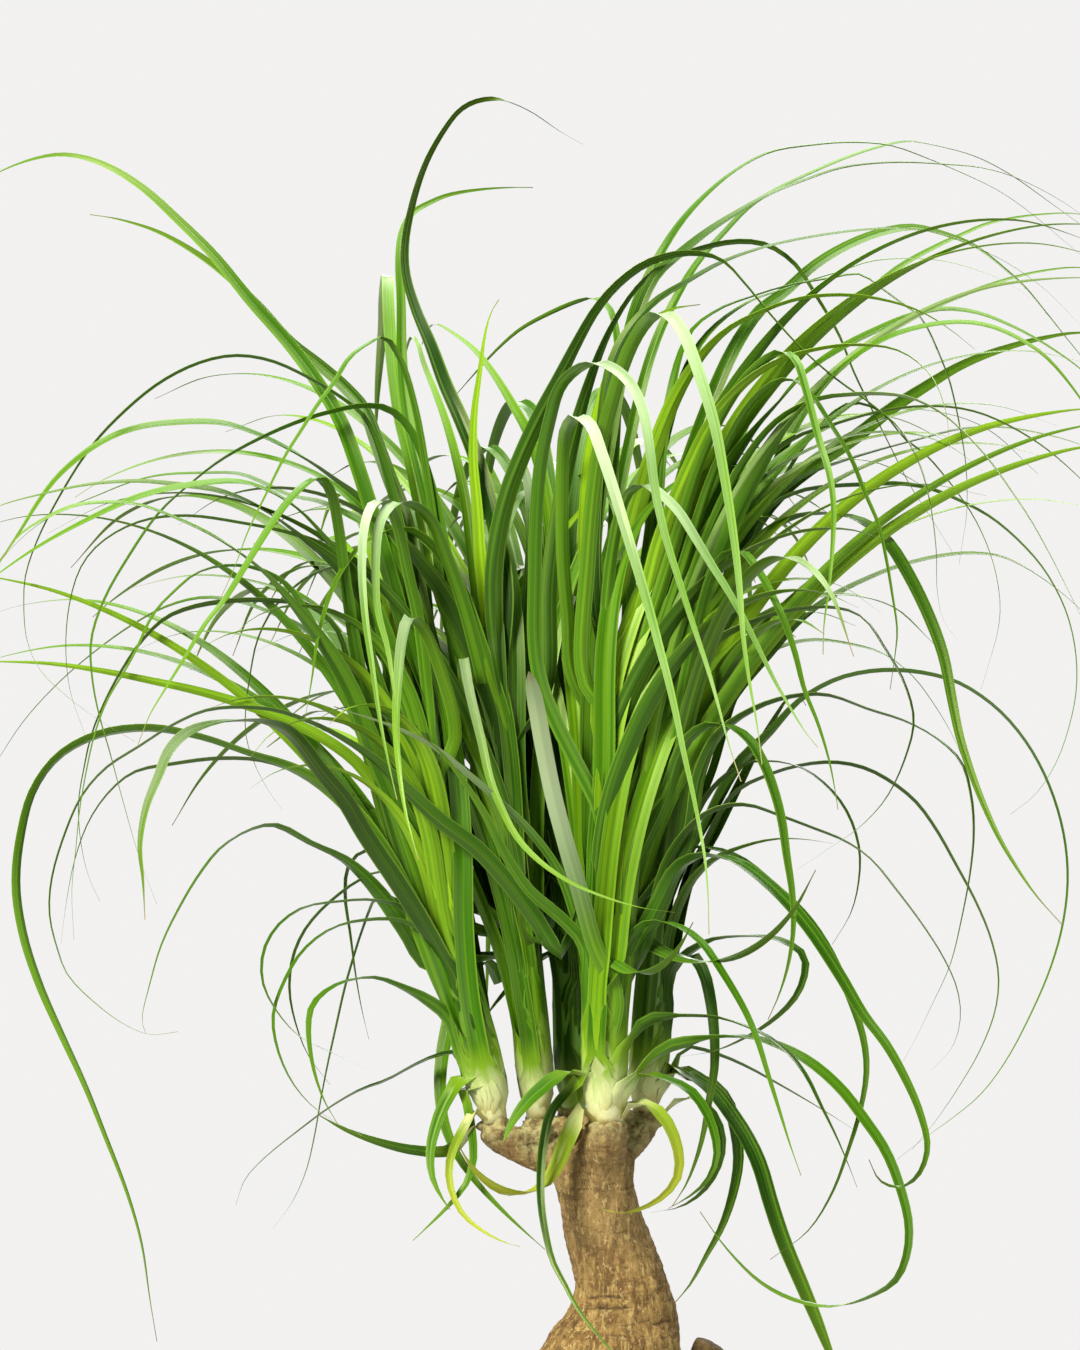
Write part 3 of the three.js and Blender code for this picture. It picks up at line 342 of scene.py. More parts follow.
MORE_LEAVES = [
    ("left_drape_high", "middle", "green", 0.9, 6, 110, 0,
     [(455, 650), (430, 500), (415, 410), (400, 360), (384, 338), (368, 345), (350, 358), (335, 382),
      (318, 405), (302, 430), (285, 457), (265, 497), (248, 532), (235, 567), (220, 600)]),
    ("left_arch_2", "left", "pale", 0.7, 9, -30, -30,
     [(450, 760), (430, 650), (400, 560), (370, 520), (345, 495), (320, 477), (290, 464), (260, 456),
      (225, 452), (180, 455), (140, 465), (100, 482), (75, 498)]),
    ("left_arch_4", "left", "green", 0.6, 12, 75, -45,
     [(430, 770), (400, 680), (370, 600), (350, 570), (325, 540), (300, 512), (275, 495), (240, 483),
      (190, 486), (140, 497), (90, 519), (40, 546), (0, 573), (-30, 597)]),
    ("left_arch_5", "middle", "green", 0.7, 9, -55, 0,
     [(450, 760), (425, 650), (400, 570), (375, 532), (350, 517), (320, 503), (290, 497), (265, 485),
      (240, 475), (200, 474), (160, 476), (130, 483), (95, 497), (70, 507), (40, 524), (15, 545),
      (-10, 575)]),
    ("left_bow_dark", "left", "green", 0.5, 9, 30, 0,
     [(430, 840), (405, 760), (380, 690), (358, 620), (345, 575), (330, 552), (310, 541), (280, 532),
      (240, 524), (190, 517), (150, 520), (120, 531), (95, 549), (80, 570), (70, 603), (66, 645),
      (70, 690), (85, 735)]),
    ("left_bow_olive", "left", "green", 0.35, 9, 80, 0,
     [(400, 830), (360, 730), (320, 640), (290, 590), (265, 573), (240, 567), (215, 568), (195, 575),
      (175, 592), (160, 607), (150, 622), (138, 648), (125, 672), (108, 700), (95, 735), (87, 770),
      (80, 810), (76, 850), (72, 890), (74, 940)]),
    ("left_level", "left", "bright", 0.6, 8, 10, 0,
     [(385, 800), (355, 762), (325, 740), (290, 722), (250, 707), (200, 692), (150, 681), (100, 671),
      (50, 664), (0, 662), (-35, 662)]),
    ("left_slope", "left", "green", 0.45, 10, -65, 0,
     [(395, 840), (365, 740), (335, 660), (303, 630), (270, 614), (235, 602), (200, 599), (165, 608),
      (130, 627), (95, 652), (60, 682), (25, 720), (0, 757), (-20, 790)]),
    ("left_arch_6", "middle", "dark", 0.4, 10, 50, 0,
     [(440, 885), (405, 843), (375, 818), (350, 800), (310, 780), (265, 763), (220, 760), (175, 765),
      (135, 773), (112, 790), (90, 820), (75, 860), (66, 905), (61, 945)]),
    ("left_hook_low", "left", "green", 0.3, 8, 40, 0,
     [(425, 930), (400, 908), (370, 901), (335, 903), (305, 908), (280, 925), (265, 950), (263, 980),
      (275, 1008), (300, 1037), (330, 1052), (365, 1069)]),
    ("left_hook_back", "left", "dark", 0.35, 8, -35, 0,
     [(440, 930), (410, 890), (385, 872), (362, 880), (340, 895), (318, 915), (303, 935), (293, 960),
      (290, 990), (295, 1020), (308, 1055), (330, 1085)]),
    ("left_ring", "left", "green", 0.2, 8, 40, 0,
     [(440, 955), (420, 932), (400, 922), (370, 921), (335, 928), (305, 950), (285, 982), (274, 1015),
      (277, 1045), (290, 1078), (310, 1104), (335, 1122), (362, 1136)]),
    ("left_hook_olive", "left", "green", 0.1, 9, 60, 0,
     [(450, 1020), (430, 1003), (405, 990), (375, 979), (350, 981), (325, 993), (312, 1008),
      (309, 1030), (313, 1065), (323, 1098), (338, 1125)]),
    ("collar_left_curl", "left", "green", 0.12, 9, 25, 0,
     [(455, 1088), (445, 1105), (437, 1125), (431, 1150), (432, 1175), (440, 1195), (450, 1210)]),
    ("collar_left_level", "left", "dark", 0, 8, 20, 0,
     [(450, 1151), (415, 1151), (380, 1143), (345, 1130), (318, 1115)]),
    ("collar_left_thin", "left", "green", 0.1, 7, 15, 0,
     [(481, 1135), (477, 1160), (467, 1183), (450, 1205), (430, 1225), (413, 1241)]),
    ("collar_short_front", "front", "green", 0.1, 14, 52, 0,
     [(565, 1075), (545, 1088), (528, 1103), (513, 1122), (503, 1143)]),
    ("top_fold_narrow", "middle", "pale", 0.8, 10, -130, 0,
     [(490, 700), (475, 580), (465, 500), (455, 455), (445, 420), (434, 390), (424, 365), (417, 342),
      (411, 338), (406, 352), (402, 385)]),
    ("top_fold_right", "back", "pale", 0.9, 12, -90, 0,
     [(555, 580), (545, 490), (530, 438), (512, 405), (495, 377), (476, 352), (455, 335), (438, 325),
      (429, 328), (422, 345)]),
    ("top_spear", "middle", "bright", 0.9, 9, -20, 0,
     [(492, 655), (486, 610), (480, 560), (477, 510), (473, 460), (474, 415), (480, 370), (485, 335),
      (491, 313), (499, 300)]),
    ("top_arch_left", "back", "green", 0.8, 7, -120, 0,
     [(605, 600), (615, 450), (618, 350), (610, 310), (595, 299), (575, 303), (545, 316), (520, 330),
      (500, 347), (480, 368), (465, 385), (450, 402)]),
    ("sweep_high_2", "back", "green", 0.7, 8, -120, 0,
     [(600, 700), (610, 560), (630, 440), (655, 345), (685, 283), (702, 258), (722, 236), (748, 209),
      (775, 191), (810, 174), (850, 157), (885, 146), (910, 142), (940, 147), (975, 157), (1010, 175),
      (1050, 203), (1090, 232)]),
    ("sweep_high_3", "front", "dark", 0.95, 9, -60, 0,
     [(595, 560), (610, 440), (630, 340), (655, 278), (682, 253), (710, 231), (740, 212), (770, 195),
      (805, 181), (840, 169), (875, 164), (910, 163), (945, 165), (980, 168), (1010, 176), (1045, 192),
      (1080, 214), (1110, 240)]),
    ("sweep_high_4", "front", "dark", 0.9, 8, -20, 0,
     [(595, 600), (600, 450), (615, 355), (650, 307), (690, 281), (725, 262), (765, 248), (810, 238),
      (860, 231), (900, 229), (940, 234), (975, 247), (1010, 265), (1045, 290), (1080, 325)]),
    ("sweep_high_5", "right", "green", 0.95, 7, -130, 0,
     [(700, 540), (740, 440), (770, 375), (800, 345), (832, 318), (865, 295), (900, 267), (940, 245),
      (960, 236), (985, 225), (1010, 219), (1040, 215), (1075, 214), (1110, 222)]),
    ("sweep_high_6", "front", "green", 0.8, 7, -30, 0,
     [(640, 600), (665, 440), (700, 345), (745, 305), (790, 288), (820, 278), (840, 272), (870, 262),
      (905, 259), (940, 261), (975, 270), (1005, 282), (1030, 298)]),
    ("drape_right_1", "front", "green", 0.75, 8, -5, 0,
     [(650, 600), (665, 430), (690, 335), (720, 310), (750, 298), (785, 287), (830, 279), (860, 275),
      (880, 288), (900, 303), (920, 318), (930, 335), (940, 358), (948, 378), (955, 405), (960, 430),
      (965, 460), (967, 490), (966, 520), (962, 545), (959, 565)]),
    ("sweep_high_7", "right", "green", 0.9, 8, -95, 0,
     [(720, 640), (770, 480), (820, 390), (870, 345), (925, 312), (950, 301), (980, 289), (1010, 279),
      (1045, 271), (1080, 268), (1115, 275)]),
    ("cut_front", "front", "white", 0.1, 15, 95, 0,
     [(610, 1000), (594, 945), (579, 890), (566, 845), (553, 795), (543, 745), (535, 700), (529, 672)]),
    ("fold_cut_left", "middle", "pale", 0.5, 9, 115, 0,
     [(475, 760), (464, 690), (463, 658), (469, 690), (481, 740), (490, 780), (501, 808), (515, 835),
      (535, 858), (565, 880), (600, 896), (640, 908), (675, 913)]),
    ("cross_left_1", "front", "pale", 0.35, 7, 72, 0,
     [(560, 875), (530, 832), (495, 798), (465, 772), (435, 748), (405, 732), (380, 722), (355, 714),
      (334, 707)]),
    ("cross_left_2", "front", "green", 0.3, 8, 60, 0,
     [(590, 945), (560, 918), (530, 892), (505, 855), (485, 815), (462, 780), (440, 752), (420, 735)]),
    ("fan_left_low", "back", "bright", 0.6, 11, -20, 0,
     [(485, 800), (482, 720), (493, 665), (508, 615), (525, 580), (545, 555), (565, 530), (590, 500),
      (620, 470)]),
    ("short_front", "back", "green", 0.4, 7, 45, 0,
     [(555, 955), (543, 958), (528, 968), (512, 985), (497, 1002), (482, 1022)]),
    ("inner_1", "front", "bright", 1, 12, -40, 0,
     [(588, 560), (588, 500), (592, 450), (602, 400), (612, 370), (625, 345), (645, 325), (670, 310),
      (700, 305)]),
    ("inner_2", "front", "bright", 1, 12, 20, 0,
     [(625, 560), (640, 500), (655, 450), (675, 400), (700, 360), (730, 330), (765, 312), (800, 300),
      (840, 296), (880, 300), (920, 312), (950, 330), (975, 350)]),
    ("inner_3", "front", "bright", 0.95, 12, 60, 0,
     [(640, 620), (662, 540), (690, 470), (715, 420), (745, 385), (780, 362), (820, 350), (860, 346),
      (900, 352), (930, 375), (945, 410), (950, 450)]),
    ("arch_right_2", "front", "green", 0.7, 13, 65, 45,
     [(668, 720), (700, 610), (740, 510), (780, 440), (815, 395), (850, 362), (885, 340), (920, 328),
      (960, 323), (990, 327), (1020, 340), (1045, 357), (1070, 385), (1090, 415), (1105, 450)]),
    ("arch_right_5", "front", "dark", 0.6, 10, 20, 0,
     [(635, 800), (665, 640), (710, 530), (760, 465), (800, 437), (830, 427), (870, 415), (910, 408),
      (950, 408), (980, 414), (1010, 427), (1040, 445), (1065, 465), (1090, 490), (1105, 515)]),
    ("arch_right_6", "right", "dark", 0.85, 10, -5, 0,
     [(695, 720), (722, 620), (745, 545), (770, 505), (800, 480), (835, 465), (875, 452), (915, 441),
      (960, 430), (1000, 428), (1040, 434), (1080, 445), (1115, 462)]),
    ("hang_right_2", "front", "green", 0.7, 9, 115, 0,
     [(680, 580), (720, 460), (760, 395), (790, 380), (810, 395), (830, 425), (850, 458), (865, 495),
      (878, 525), (886, 560), (892, 595), (897, 630), (895, 655), (890, 690)]),
    ("hang_right_3", "right", "green", 0.8, 8, 60, 0,
     [(710, 660), (760, 530), (810, 440), (850, 405), (880, 412), (905, 440), (925, 455), (943, 475),
      (960, 497), (975, 520), (988, 548), (996, 575), (1000, 605), (998, 630), (990, 660), (981, 690)]),
    ("arch_right_7", "right", "dark", 0.65, 10, -30, 0,
     [(690, 800), (715, 730), (740, 690), (770, 655), (800, 622), (832, 598), (865, 581), (900, 567),
      (940, 557), (970, 554), (1000, 557), (1025, 568), (1055, 588), (1085, 615), (1105, 645)]),
    ("arch_right_8", "right", "green", 0.6, 7, -40, 0,
     [(710, 780), (740, 690), (775, 651), (812, 641), (850, 645), (885, 655), (912, 676), (932, 702),
      (952, 735), (965, 765)]),
    ("bow_right_5", "right", "dark", 0.4, 8, 20, 0,
     [(705, 850), (735, 795), (765, 778), (800, 767), (835, 764), (865, 770), (890, 783), (915, 803),
      (935, 830), (955, 865), (975, 902), (990, 938), (998, 975), (995, 1010), (980, 1050),
      (960, 1085), (935, 1122), (912, 1150)]),
    ("loop_right_thin", "right", "dark", 0.55, 5, 60, 0,
     [(705, 800), (740, 767), (770, 762), (800, 768), (828, 788), (848, 815), (859, 850), (858, 885),
      (850, 915), (832, 945)]),
    ("hang_right_4", "front", "green", 0.6, 9, 115, 0,
     [(660, 800), (690, 660), (720, 560), (740, 552), (755, 567), (772, 597), (785, 625), (795, 655),
      (804, 690), (817, 722), (828, 757), (834, 785), (838, 810)]),
    ("fold_grey", "front", "pale", 0.8, 10, 170, 0,
     [(605, 640), (615, 540), (628, 495), (645, 486), (660, 495), (678, 512), (694, 537), (711, 565),
      (728, 592), (745, 622), (760, 652), (775, 682), (790, 708), (805, 732), (818, 748)]),
    ("hang_right_5", "front", "green", 0.45, 10, 110, 0,
     [(665, 800), (685, 745), (707, 727), (730, 728), (748, 740), (762, 762), (773, 790), (781, 820),
      (786, 855), (792, 895), (793, 930), (788, 965), (779, 995), (768, 1020)]),
    ("blade_right_cut", "right", "dark", 0.3, 11, -20, 0,
     [(690, 880), (715, 835), (735, 795), (752, 760), (765, 735), (780, 710), (790, 696), (800, 697),
      (806, 706)]),
    ("low_right_second", "right", "green", 0.3, 8.5, 90, 0,
     [(650, 890), (675, 855), (700, 848), (735, 858), (770, 885), (805, 918), (830, 955), (850, 1000),
      (863, 1040), (866, 1072), (860, 1110), (848, 1150), (832, 1193), (808, 1231), (770, 1260)]),
    ("low_right_cut", "right", "dark", 0.25, 9, 50, 0,
     [(665, 940), (690, 885), (715, 860), (745, 847), (775, 840), (805, 840), (833, 844)]),
    ("low_right_long", "front", "dark", 0.25, 9, 60, 0,
     [(650, 930), (670, 860), (700, 820), (725, 808), (750, 807), (780, 817), (815, 830), (845, 842),
      (870, 859), (895, 889), (922, 925), (943, 958), (957, 990), (960, 1020), (952, 1048),
      (932, 1070)]),
    ("low_right_hook", "right", "dark", 0.2, 8, 50, 0,
     [(670, 972), (705, 944), (745, 937), (780, 941), (803, 956), (804, 975), (795, 997), (775, 1018),
      (750, 1035), (715, 1051), (680, 1057)]),
    ("low_right_slant", "front", "green", 0.2, 7, 110, 0,
     [(625, 948), (648, 924), (675, 926), (700, 942), (722, 973), (745, 1012), (757, 1040),
      (767, 1072), (779, 1110), (790, 1145), (801, 1176)]),
    ("right_plumb", "right", "dark", 0.15, 9, 60, 0,
     [(656, 1010), (662, 980), (675, 962), (692, 957), (703, 972), (710, 1000), (714, 1035),
      (714, 1070), (709, 1100), (703, 1135), (696, 1160), (686, 1185), (672, 1207)]),
    ("low_right_arc_2", "front", "dark", 0.15, 8, 55, 0,
     [(645, 1022), (665, 1018), (690, 1017), (720, 1019), (745, 1027), (768, 1038), (790, 1056),
      (806, 1077), (820, 1105), (836, 1137), (851, 1172), (857, 1188)]),
    ("low_right_arc_3", "right", "dark", 0.05, 8, 5, 0,
     [(685, 1050), (715, 1055), (745, 1067), (775, 1083), (805, 1100), (835, 1118), (855, 1131)]),
    ("collar_right_1", "front", "green", 0.05, 9, 38, 0,
     [(640, 1076), (665, 1080), (690, 1092), (705, 1112), (714, 1135), (716, 1158), (707, 1180),
      (690, 1196), (668, 1209)]),
    ("collar_right_2", "right", "dark", 0, 7, 15, 0,
     [(685, 1098), (702, 1104), (716, 1120), (722, 1143), (718, 1166), (704, 1190), (680, 1207),
      (650, 1213)]),
    ("collar_right_3", "right", "dark", 0.1, 9, 55, 0,
     [(690, 1078), (712, 1086), (727, 1103), (735, 1130), (738, 1160), (733, 1192), (722, 1226),
      (705, 1258), (690, 1285), (675, 1303)]),
    ("centre_fold_1", "middle", "pale", 0.75, 12, 130, 0,
     [(488, 700), (465, 610), (447, 560), (430, 520), (410, 505), (392, 506), (380, 525), (376, 565),
      (378, 610), (388, 650), (395, 700), (398, 740)]),
    ("centre_fold_2", "left", "white", 0.9, 11, 135, 0,
     [(420, 630), (407, 570), (398, 530), (388, 505), (374, 504), (365, 525), (362, 565), (365, 615),
      (372, 665), (380, 720), (390, 770), (397, 800)]),
    ("centre_fold_3", "left", "pale", 0.8, 10, 110, 0,
     [(455, 740), (438, 665), (422, 628), (409, 618), (402, 640), (398, 680), (396, 720), (398, 760),
      (405, 810), (418, 860)]),
    ("centre_arch", "middle", "green", 0.65, 12, 60, 0,
     [(505, 740), (480, 650), (455, 580), (430, 545), (405, 530), (370, 540), (340, 575), (320, 630),
      (312, 680), (305, 720)]),
]


# ---- curves ----

def place(x, y, forward):
    """A sketch point moved along its line of sight, so that it lies `forward` millimetres in front."""
    flat = Vector(((x - SKETCH_AXIS) * SKETCH_UNIT, 0, (SKETCH_FLOOR - y) * SKETCH_UNIT))
    nearer = (-EYE.y - forward * MM) / -EYE.y
    return np.array(EYE + (flat - EYE) * nearer)


def smooth(value, low, high):
    """Eases from 0 at low to 1 at high."""
    t = np.clip((value - low) / (high - low), 0, 1)
    return t * t * (3 - 2 * t)


def unit(vectors):
    return vectors / np.maximum(np.linalg.norm(vectors, axis=-1, keepdims=True), 1e-9)


SPAN_STEPS = 8


class Curve:
    """A smooth curve through points, read by its fraction of the length."""

    def __init__(self, points):
        points = np.array(points)
        first = 2 * points[0] - points[1]
        last = 2 * points[-1] - points[-2]
        padded = np.vstack([first, points, last])
        line = []
        for p0, p1, p2, p3 in zip(padded, padded[1:], padded[2:], padded[3:]):
            d0, d1, d2 = (math.sqrt(np.linalg.norm(b - a)) for a, b in ((p0, p1), (p1, p2), (p2, p3)))
            m1 = ((p1 - p0) / d0 - (p2 - p0) / (d0 + d1) + (p2 - p1) / d1) * d1
            m2 = ((p2 - p1) / d1 - (p3 - p1) / (d1 + d2) + (p3 - p2) / d2) * d1
            for t in np.arange(SPAN_STEPS) / SPAN_STEPS:
                line.append((2 * t**3 - 3 * t**2 + 1) * p1 + (t**3 - 2 * t**2 + t) * m1
                            + (3 * t**2 - 2 * t**3) * p2 + (t**3 - t**2) * m2)
        line.append(points[-1])
        self.line = np.array(line)
        steps = np.linalg.norm(np.diff(self.line, axis=0), axis=1)
        self.travel = np.concatenate([[0], np.cumsum(steps)])
        self.length = self.travel[-1]

    def at(self, fractions):
        wanted = np.asarray(fractions) * self.length
        return np.stack([np.interp(wanted, self.travel, self.line[:, k]) for k in range(3)], axis=-1)

    def apex(self):
        """The fraction at which the curve is highest."""
        return self.travel[int(np.argmax(self.line[:, 2]))] / self.length

    def along(self, fractions):
        fractions = np.asarray(fractions)
        return unit(self.at(np.minimum(fractions + 0.007, 1)) - self.at(np.maximum(fractions - 0.007, 0)))


BACK_GREENER = 0.14
BACK_BEYOND = -30
BROAD_FROM = 11
BROAD_WAIST = 0.80
NARROW_WAIST = 0.66
WAIST_TO = 0.13
SHOOT_SWELL = 0.12
SHOOT_TAPER = 0.8


class Shoot:
    def __init__(self, forward, radius, route):
        self.forward = forward
        self.radius = radius * MM
        self.waist = BROAD_WAIST if radius > BROAD_FROM else NARROW_WAIST
        self.greener = BACK_GREENER if forward < BACK_BEYOND else 0
        self.axis = Curve([place(x, y, forward) for x, y in route])

    def radius_at(self, fraction):
        swell = 1 + SHOOT_SWELL * np.sin(np.pi * np.minimum(1, np.asarray(fraction) * 2.5))
        return self.radius * swell * (1 - SHOOT_TAPER * np.asarray(fraction) ** 1.4)

    def skin(self, fraction):
        """Its radius as it is seen: a shoot is narrower where it leaves the wood."""
        return self.radius_at(fraction) * (self.waist + (1 - self.waist) * smooth(fraction, 0.0, WAIST_TO))

    def outside(self, point):
        """A point that lies too near the shoot's axis is moved straight out."""
        steps = np.linspace(0, 1, 21)
        axis = self.axis.at(steps)
        nearest = int(np.argmin(np.abs(axis[:, 2] - point[2])))
        centre = np.array([axis[nearest][0], axis[nearest][1], point[2]])
        out = point - centre
        clear = self.radius_at(steps[nearest]) + 2 * CAD_LEAF_THICKNESS
        distance = np.linalg.norm(out)
        if nearest < len(steps) - 1 and distance < clear:
            return centre + out * clear / distance
        return point


shoots = {name: Shoot(*facts) for name, facts in SHOOTS.items()}


# ---- meshes ----

def circle(radius, height, sides):
    """Points of a level ring."""
    angles = (2 * math.pi * side / sides for side in range(sides))
    return [(radius * math.cos(angle), radius * math.sin(angle), height) for angle in angles]


def dress(mesh, attributes):
    """Gives a mesh its numbers at each vertex, and smooth faces."""
    for key, values in attributes.items():
        layer = mesh.attributes.new(key, "FLOAT", "POINT")
        layer.data.foreach_set("value", np.asarray(values, dtype=np.float32))
    mesh.polygons.foreach_set("use_smooth", [True] * len(mesh.polygons))


def show(name, mesh):
    """Puts a mesh into the scene as an object."""
    made = bpy.data.objects.new(name, mesh)
    bpy.context.scene.collection.objects.link(made)
    return made


def make_object(name, vertices, faces, attributes=None, material=None, sharp=180):
    mesh = bpy.data.meshes.new(name)
    mesh.from_pydata([tuple(v) for v in vertices], [], faces)
    dress(mesh, attributes or {})
    mesh.update()
    mesh.set_sharp_from_angle(angle=math.radians(sharp))
    made = show(name, mesh)
    if material:
        mesh.materials.append(material)
    return made


class Pile:
    """Closed shells gathered into one mesh, with a number of each kind at every vertex."""

    def __init__(self, keys):
        self.vertices = []
        self.faces = []
        self.values = {key: [] for key in keys}
        self.count = 0

    def add(self, vertices, faces, **values):
        self.vertices.append(vertices)
        self.faces += [tuple(self.count + index for index in face) for face in faces]
        for key, store in self.values.items():
            store.append(np.broadcast_to(np.asarray(values[key], dtype=float), (len(vertices),)))
        self.count += len(vertices)

    def build(self, name, material, sharp=180):
        attributes = {key: np.concatenate(store) for key, store in self.values.items()}
        return make_object(name, np.vstack(self.vertices), self.faces, attributes, material, sharp)


def tube_faces(rings, sides):
    """Faces of a tube of rings, with both ends closed by a strip across."""
    faces = []
    for ring in range(rings - 1):
        low = ring * sides
        for side in range(sides):
            after = (side + 1) % sides
            faces.append((low + side, low + after, low + sides + after, low + sides + side))
    half = sides // 2
    last = (rings - 1) * sides
    for side in range(half - 1):
        other = sides - 1 - side
        faces.append((side, other, other - 1, side + 1))
        faces.append((last + side, last + side + 1, last + other - 1, last + other))
    return faces


def crumb(centre, size, stretch, rng):
    """A small broken lump: a ball of few faces, pushed about."""
    rows, sides = 5, 8
    vertices = []
    turn = rng.uniform(0, math.pi)
    seed = Vector((rng.uniform(0, 90), rng.uniform(0, 90), 0))
    for row in range(rows + 1):
        lift = math.pi * (row + 0.35) / (rows + 0.7)
        for side in range(sides):
            angle = 2 * math.pi * side / sides
            ball = Vector((math.sin(lift) * math.cos(angle) * stretch[0],
                           math.sin(lift) * math.sin(angle) * stretch[1], -math.cos(lift) * stretch[2]))
            ball *= size * (1 + 0.35 * noise.noise(ball * 1.7 + seed))
            vertices.append((centre[0] + ball.x * math.cos(turn) - ball.y * math.sin(turn),
                             centre[1] + ball.x * math.sin(turn) + ball.y * math.cos(turn),
                             centre[2] + ball.z))
    return np.array(vertices), tube_faces(rows + 1, sides)


# ---- leaves ----

LEAF_KEYS = ("along", "across", "under", "tone", "age", "pale", "reach", "level")
# Each tone gives a leaf's tone, its age and its pale share; the pale share is a painted sheen, a painted
# highlight round the leaf's bend.
TONES = {
    "dark": (0.12, 0.0, 0.0),
    "green": (0.42, 0.0, 0.0),
    "bright": (0.85, 0.0, 0.0),
    "pale": (0.5, 0.0, 0.55),
    "white": (0.55, 0.0, 1.0),
    "yellow": (0.75, 1.0, 0.1),
}


def foot_run(shoot, up, flat):
    """Points up the shoot's side to where a leaf leaves it, coming out of the shoot's skin."""
    run = min(FOOT_RUN, 0.9 * up * shoot.axis.length)
    if run < FOOT_LEAST:
        return []
    points = []
    for step in np.linspace(0, 1, 5)[:-1]:
        level = up - run * (1 - step) / shoot.axis.length
        proud = GAP - FOOT_SUNK * (1 - step) ** 2
        points.append(shoot.axis.at(level) + flat * (shoot.skin(level) + proud))
    return points


def blade_across(curve, breadth, level, start, twist=0.0, facing=FACING):
    """How a blade lies across its run: it clasps the shoot, shows its face, and lies level on its arch."""
    apex = max(LEAST_APEX, curve.apex() - start) / (1 - start)
    travel = curve.line[-1] - curve.line[0]
    sideways = travel[0] ** 2 / (travel[0] ** 2 + travel[1] ** 2 + 1e-9)

    def across(fractions):
        along = curve.along(fractions)
        free = np.maximum(0, fractions - start) / (1 - start)
        turn = smooth(free, 0, CLASP)[:, None]
        base = breadth * (1 - turn) + level * turn
        base = unit(base - along * np.sum(base * along, axis=1, keepdims=True))
        shown = unit(np.cross(along, np.array([0, 1.0, 0])))
        early = min(len(free) - 1, int(np.searchsorted(free, TURNS[0] * apex)))
        shown = shown * (-1 if np.dot(shown[early], base[early]) < 0 else 1)
        turned = smooth(free, TURNS[0] * apex, TURNS[1] * apex) * (apex <= UPRIGHT)
        rising = facing * smooth(free, 0, SHOWS_FACE_BY) * (1 - turned)
        hanging = smooth(free, HANGS[0] * apex, HANGS[1] * apex)
        agree = np.sum(shown * base, axis=1)
        part = rising + hanging * (SIDEWAYS_TILT * sideways + HANGING_TURN * agree)
        base = unit(base * (1 - rising)[:, None] + shown * part[:, None])
        angle = np.radians(twist * smooth(free, *TWISTS))[:, None]
        return base * np.cos(angle) + np.cross(along, base) * np.sin(angle)

    return across


def leaf_shell(curve, across, start, inward, shoot, up, width, full, tone, age, pale, wave=0.3):
    """The closed, channelled blade along a curve: vertices, faces and the values at each vertex.

    Up to the fraction `start` its foot is wider and curls round the shoot, and then it opens to the blade.
    """
    count = max(LEAST_ROWS, int(curve.length / LEAF_STEP))
    fractions = np.linspace(0, 1, count) ** ROW_CROWDING
    reach = (fractions - start) * curve.length
    centre = curve.at(fractions)
    along = curve.along(fractions)
    across = across(fractions)
    across = unit(across - along * np.sum(across * along, axis=1, keepdims=True))
    upper = np.cross(across, along)
    free = np.maximum(0, fractions - start) / (1 - start)
    spread = 1 - free**full
    run = start * curve.length
    hug = (1 - smooth(reach, 0, FOOT_OPENING)) if run else np.zeros(count)
    radius = float(shoot.skin(up)) + GAP
    half = np.maximum(width * MM * spread, TIP_WIDTH) / 2
    gathering = smooth(reach + run, -0.3 * run, 0.5 * run)
    opening = smooth(reach, -8 * MM, FOOT_OPENING)
    clasp = radius * FOOT_TURN * gathering * (1 - opening)
    half = np.maximum(half, clasp) if run else half
    columns = np.array(COLUMNS)
    curl = 1 if np.dot(upper[0], inward) > 0 else -1
    bow = half[:, None] * columns[None, :] * (hug / radius)[:, None]
    aside = half[:, None] * columns[None, :] * np.sinc(bow / math.pi)
    rise = curl * half[:, None] * columns[None, :] * np.sinc(bow / 2 / math.pi) * np.sin(bow / 2)
    channel = half * CHANNEL_DEPTH * (1 - 0.5 * free) * (1 - hug)
    rise = rise + channel[:, None] * np.abs(columns)[None, :]
    ripple = wave * MM * np.sin(reach / RIPPLE_LENGTH + tone * 40) * spread * (1 - hug)
    rise = rise + ripple[:, None] * columns[None, :]
    thick = EDGE_THICKNESS + (RIB_THICKNESS - EDGE_THICKNESS) * (1 - np.abs(columns) ** 1.5)
    thin = thick[None, :] * np.minimum(1, half[:, None] / THINNING_HALF)
    spine = centre[:, None, :] + across[:, None, :] * aside[:, :, None]
    top = spine + upper[:, None, :] * (rise + thin / 2)[:, :, None]
    bottom = spine + upper[:, None, :] * (rise - thin / 2)[:, :, None]
    ring = np.concatenate([bottom, top[:, ::-1, :]], axis=1)
    sides = 2 * len(columns)
    apex = curve.apex()
    # pale is a painted sheen: a painted highlight round the bend at the top of the arch, or up the top part
    # of a leaf that stands upright.
    if apex > UPRIGHT:
        pale = pale * smooth(fractions, *UPRIGHT_SHEEN)
    else:
        pale = pale * smooth(fractions, apex - SHEEN_BEFORE, apex + SHEEN_AFTER)
        pale = pale * (1 - SHEEN_LOSS * smooth(fractions, apex, apex + SHEEN_GONE))
    growth = np.where(reach > 0, BLADE_LEVEL_GROWTH, 1.0)
    level = up + growth * reach / shoot.axis.length + shoot.greener
    values = {
        "along": np.repeat(free, sides),
        "across": np.tile(np.concatenate([columns, columns[::-1]]), count),
        "under": np.tile(np.repeat([1.0, 0.0], len(columns)), count),
        "reach": np.repeat(reach, sides),
        "level": np.repeat(level, sides),
        "pale": np.repeat(pale, sides),
        "age": np.repeat(age * (AGE_AT_FOOT + (1 - AGE_AT_FOOT) * smooth(free, *AGES)), sides),
        "tone": tone,
    }
    return ring.reshape(-1, 3), tube_faces(count, sides), values


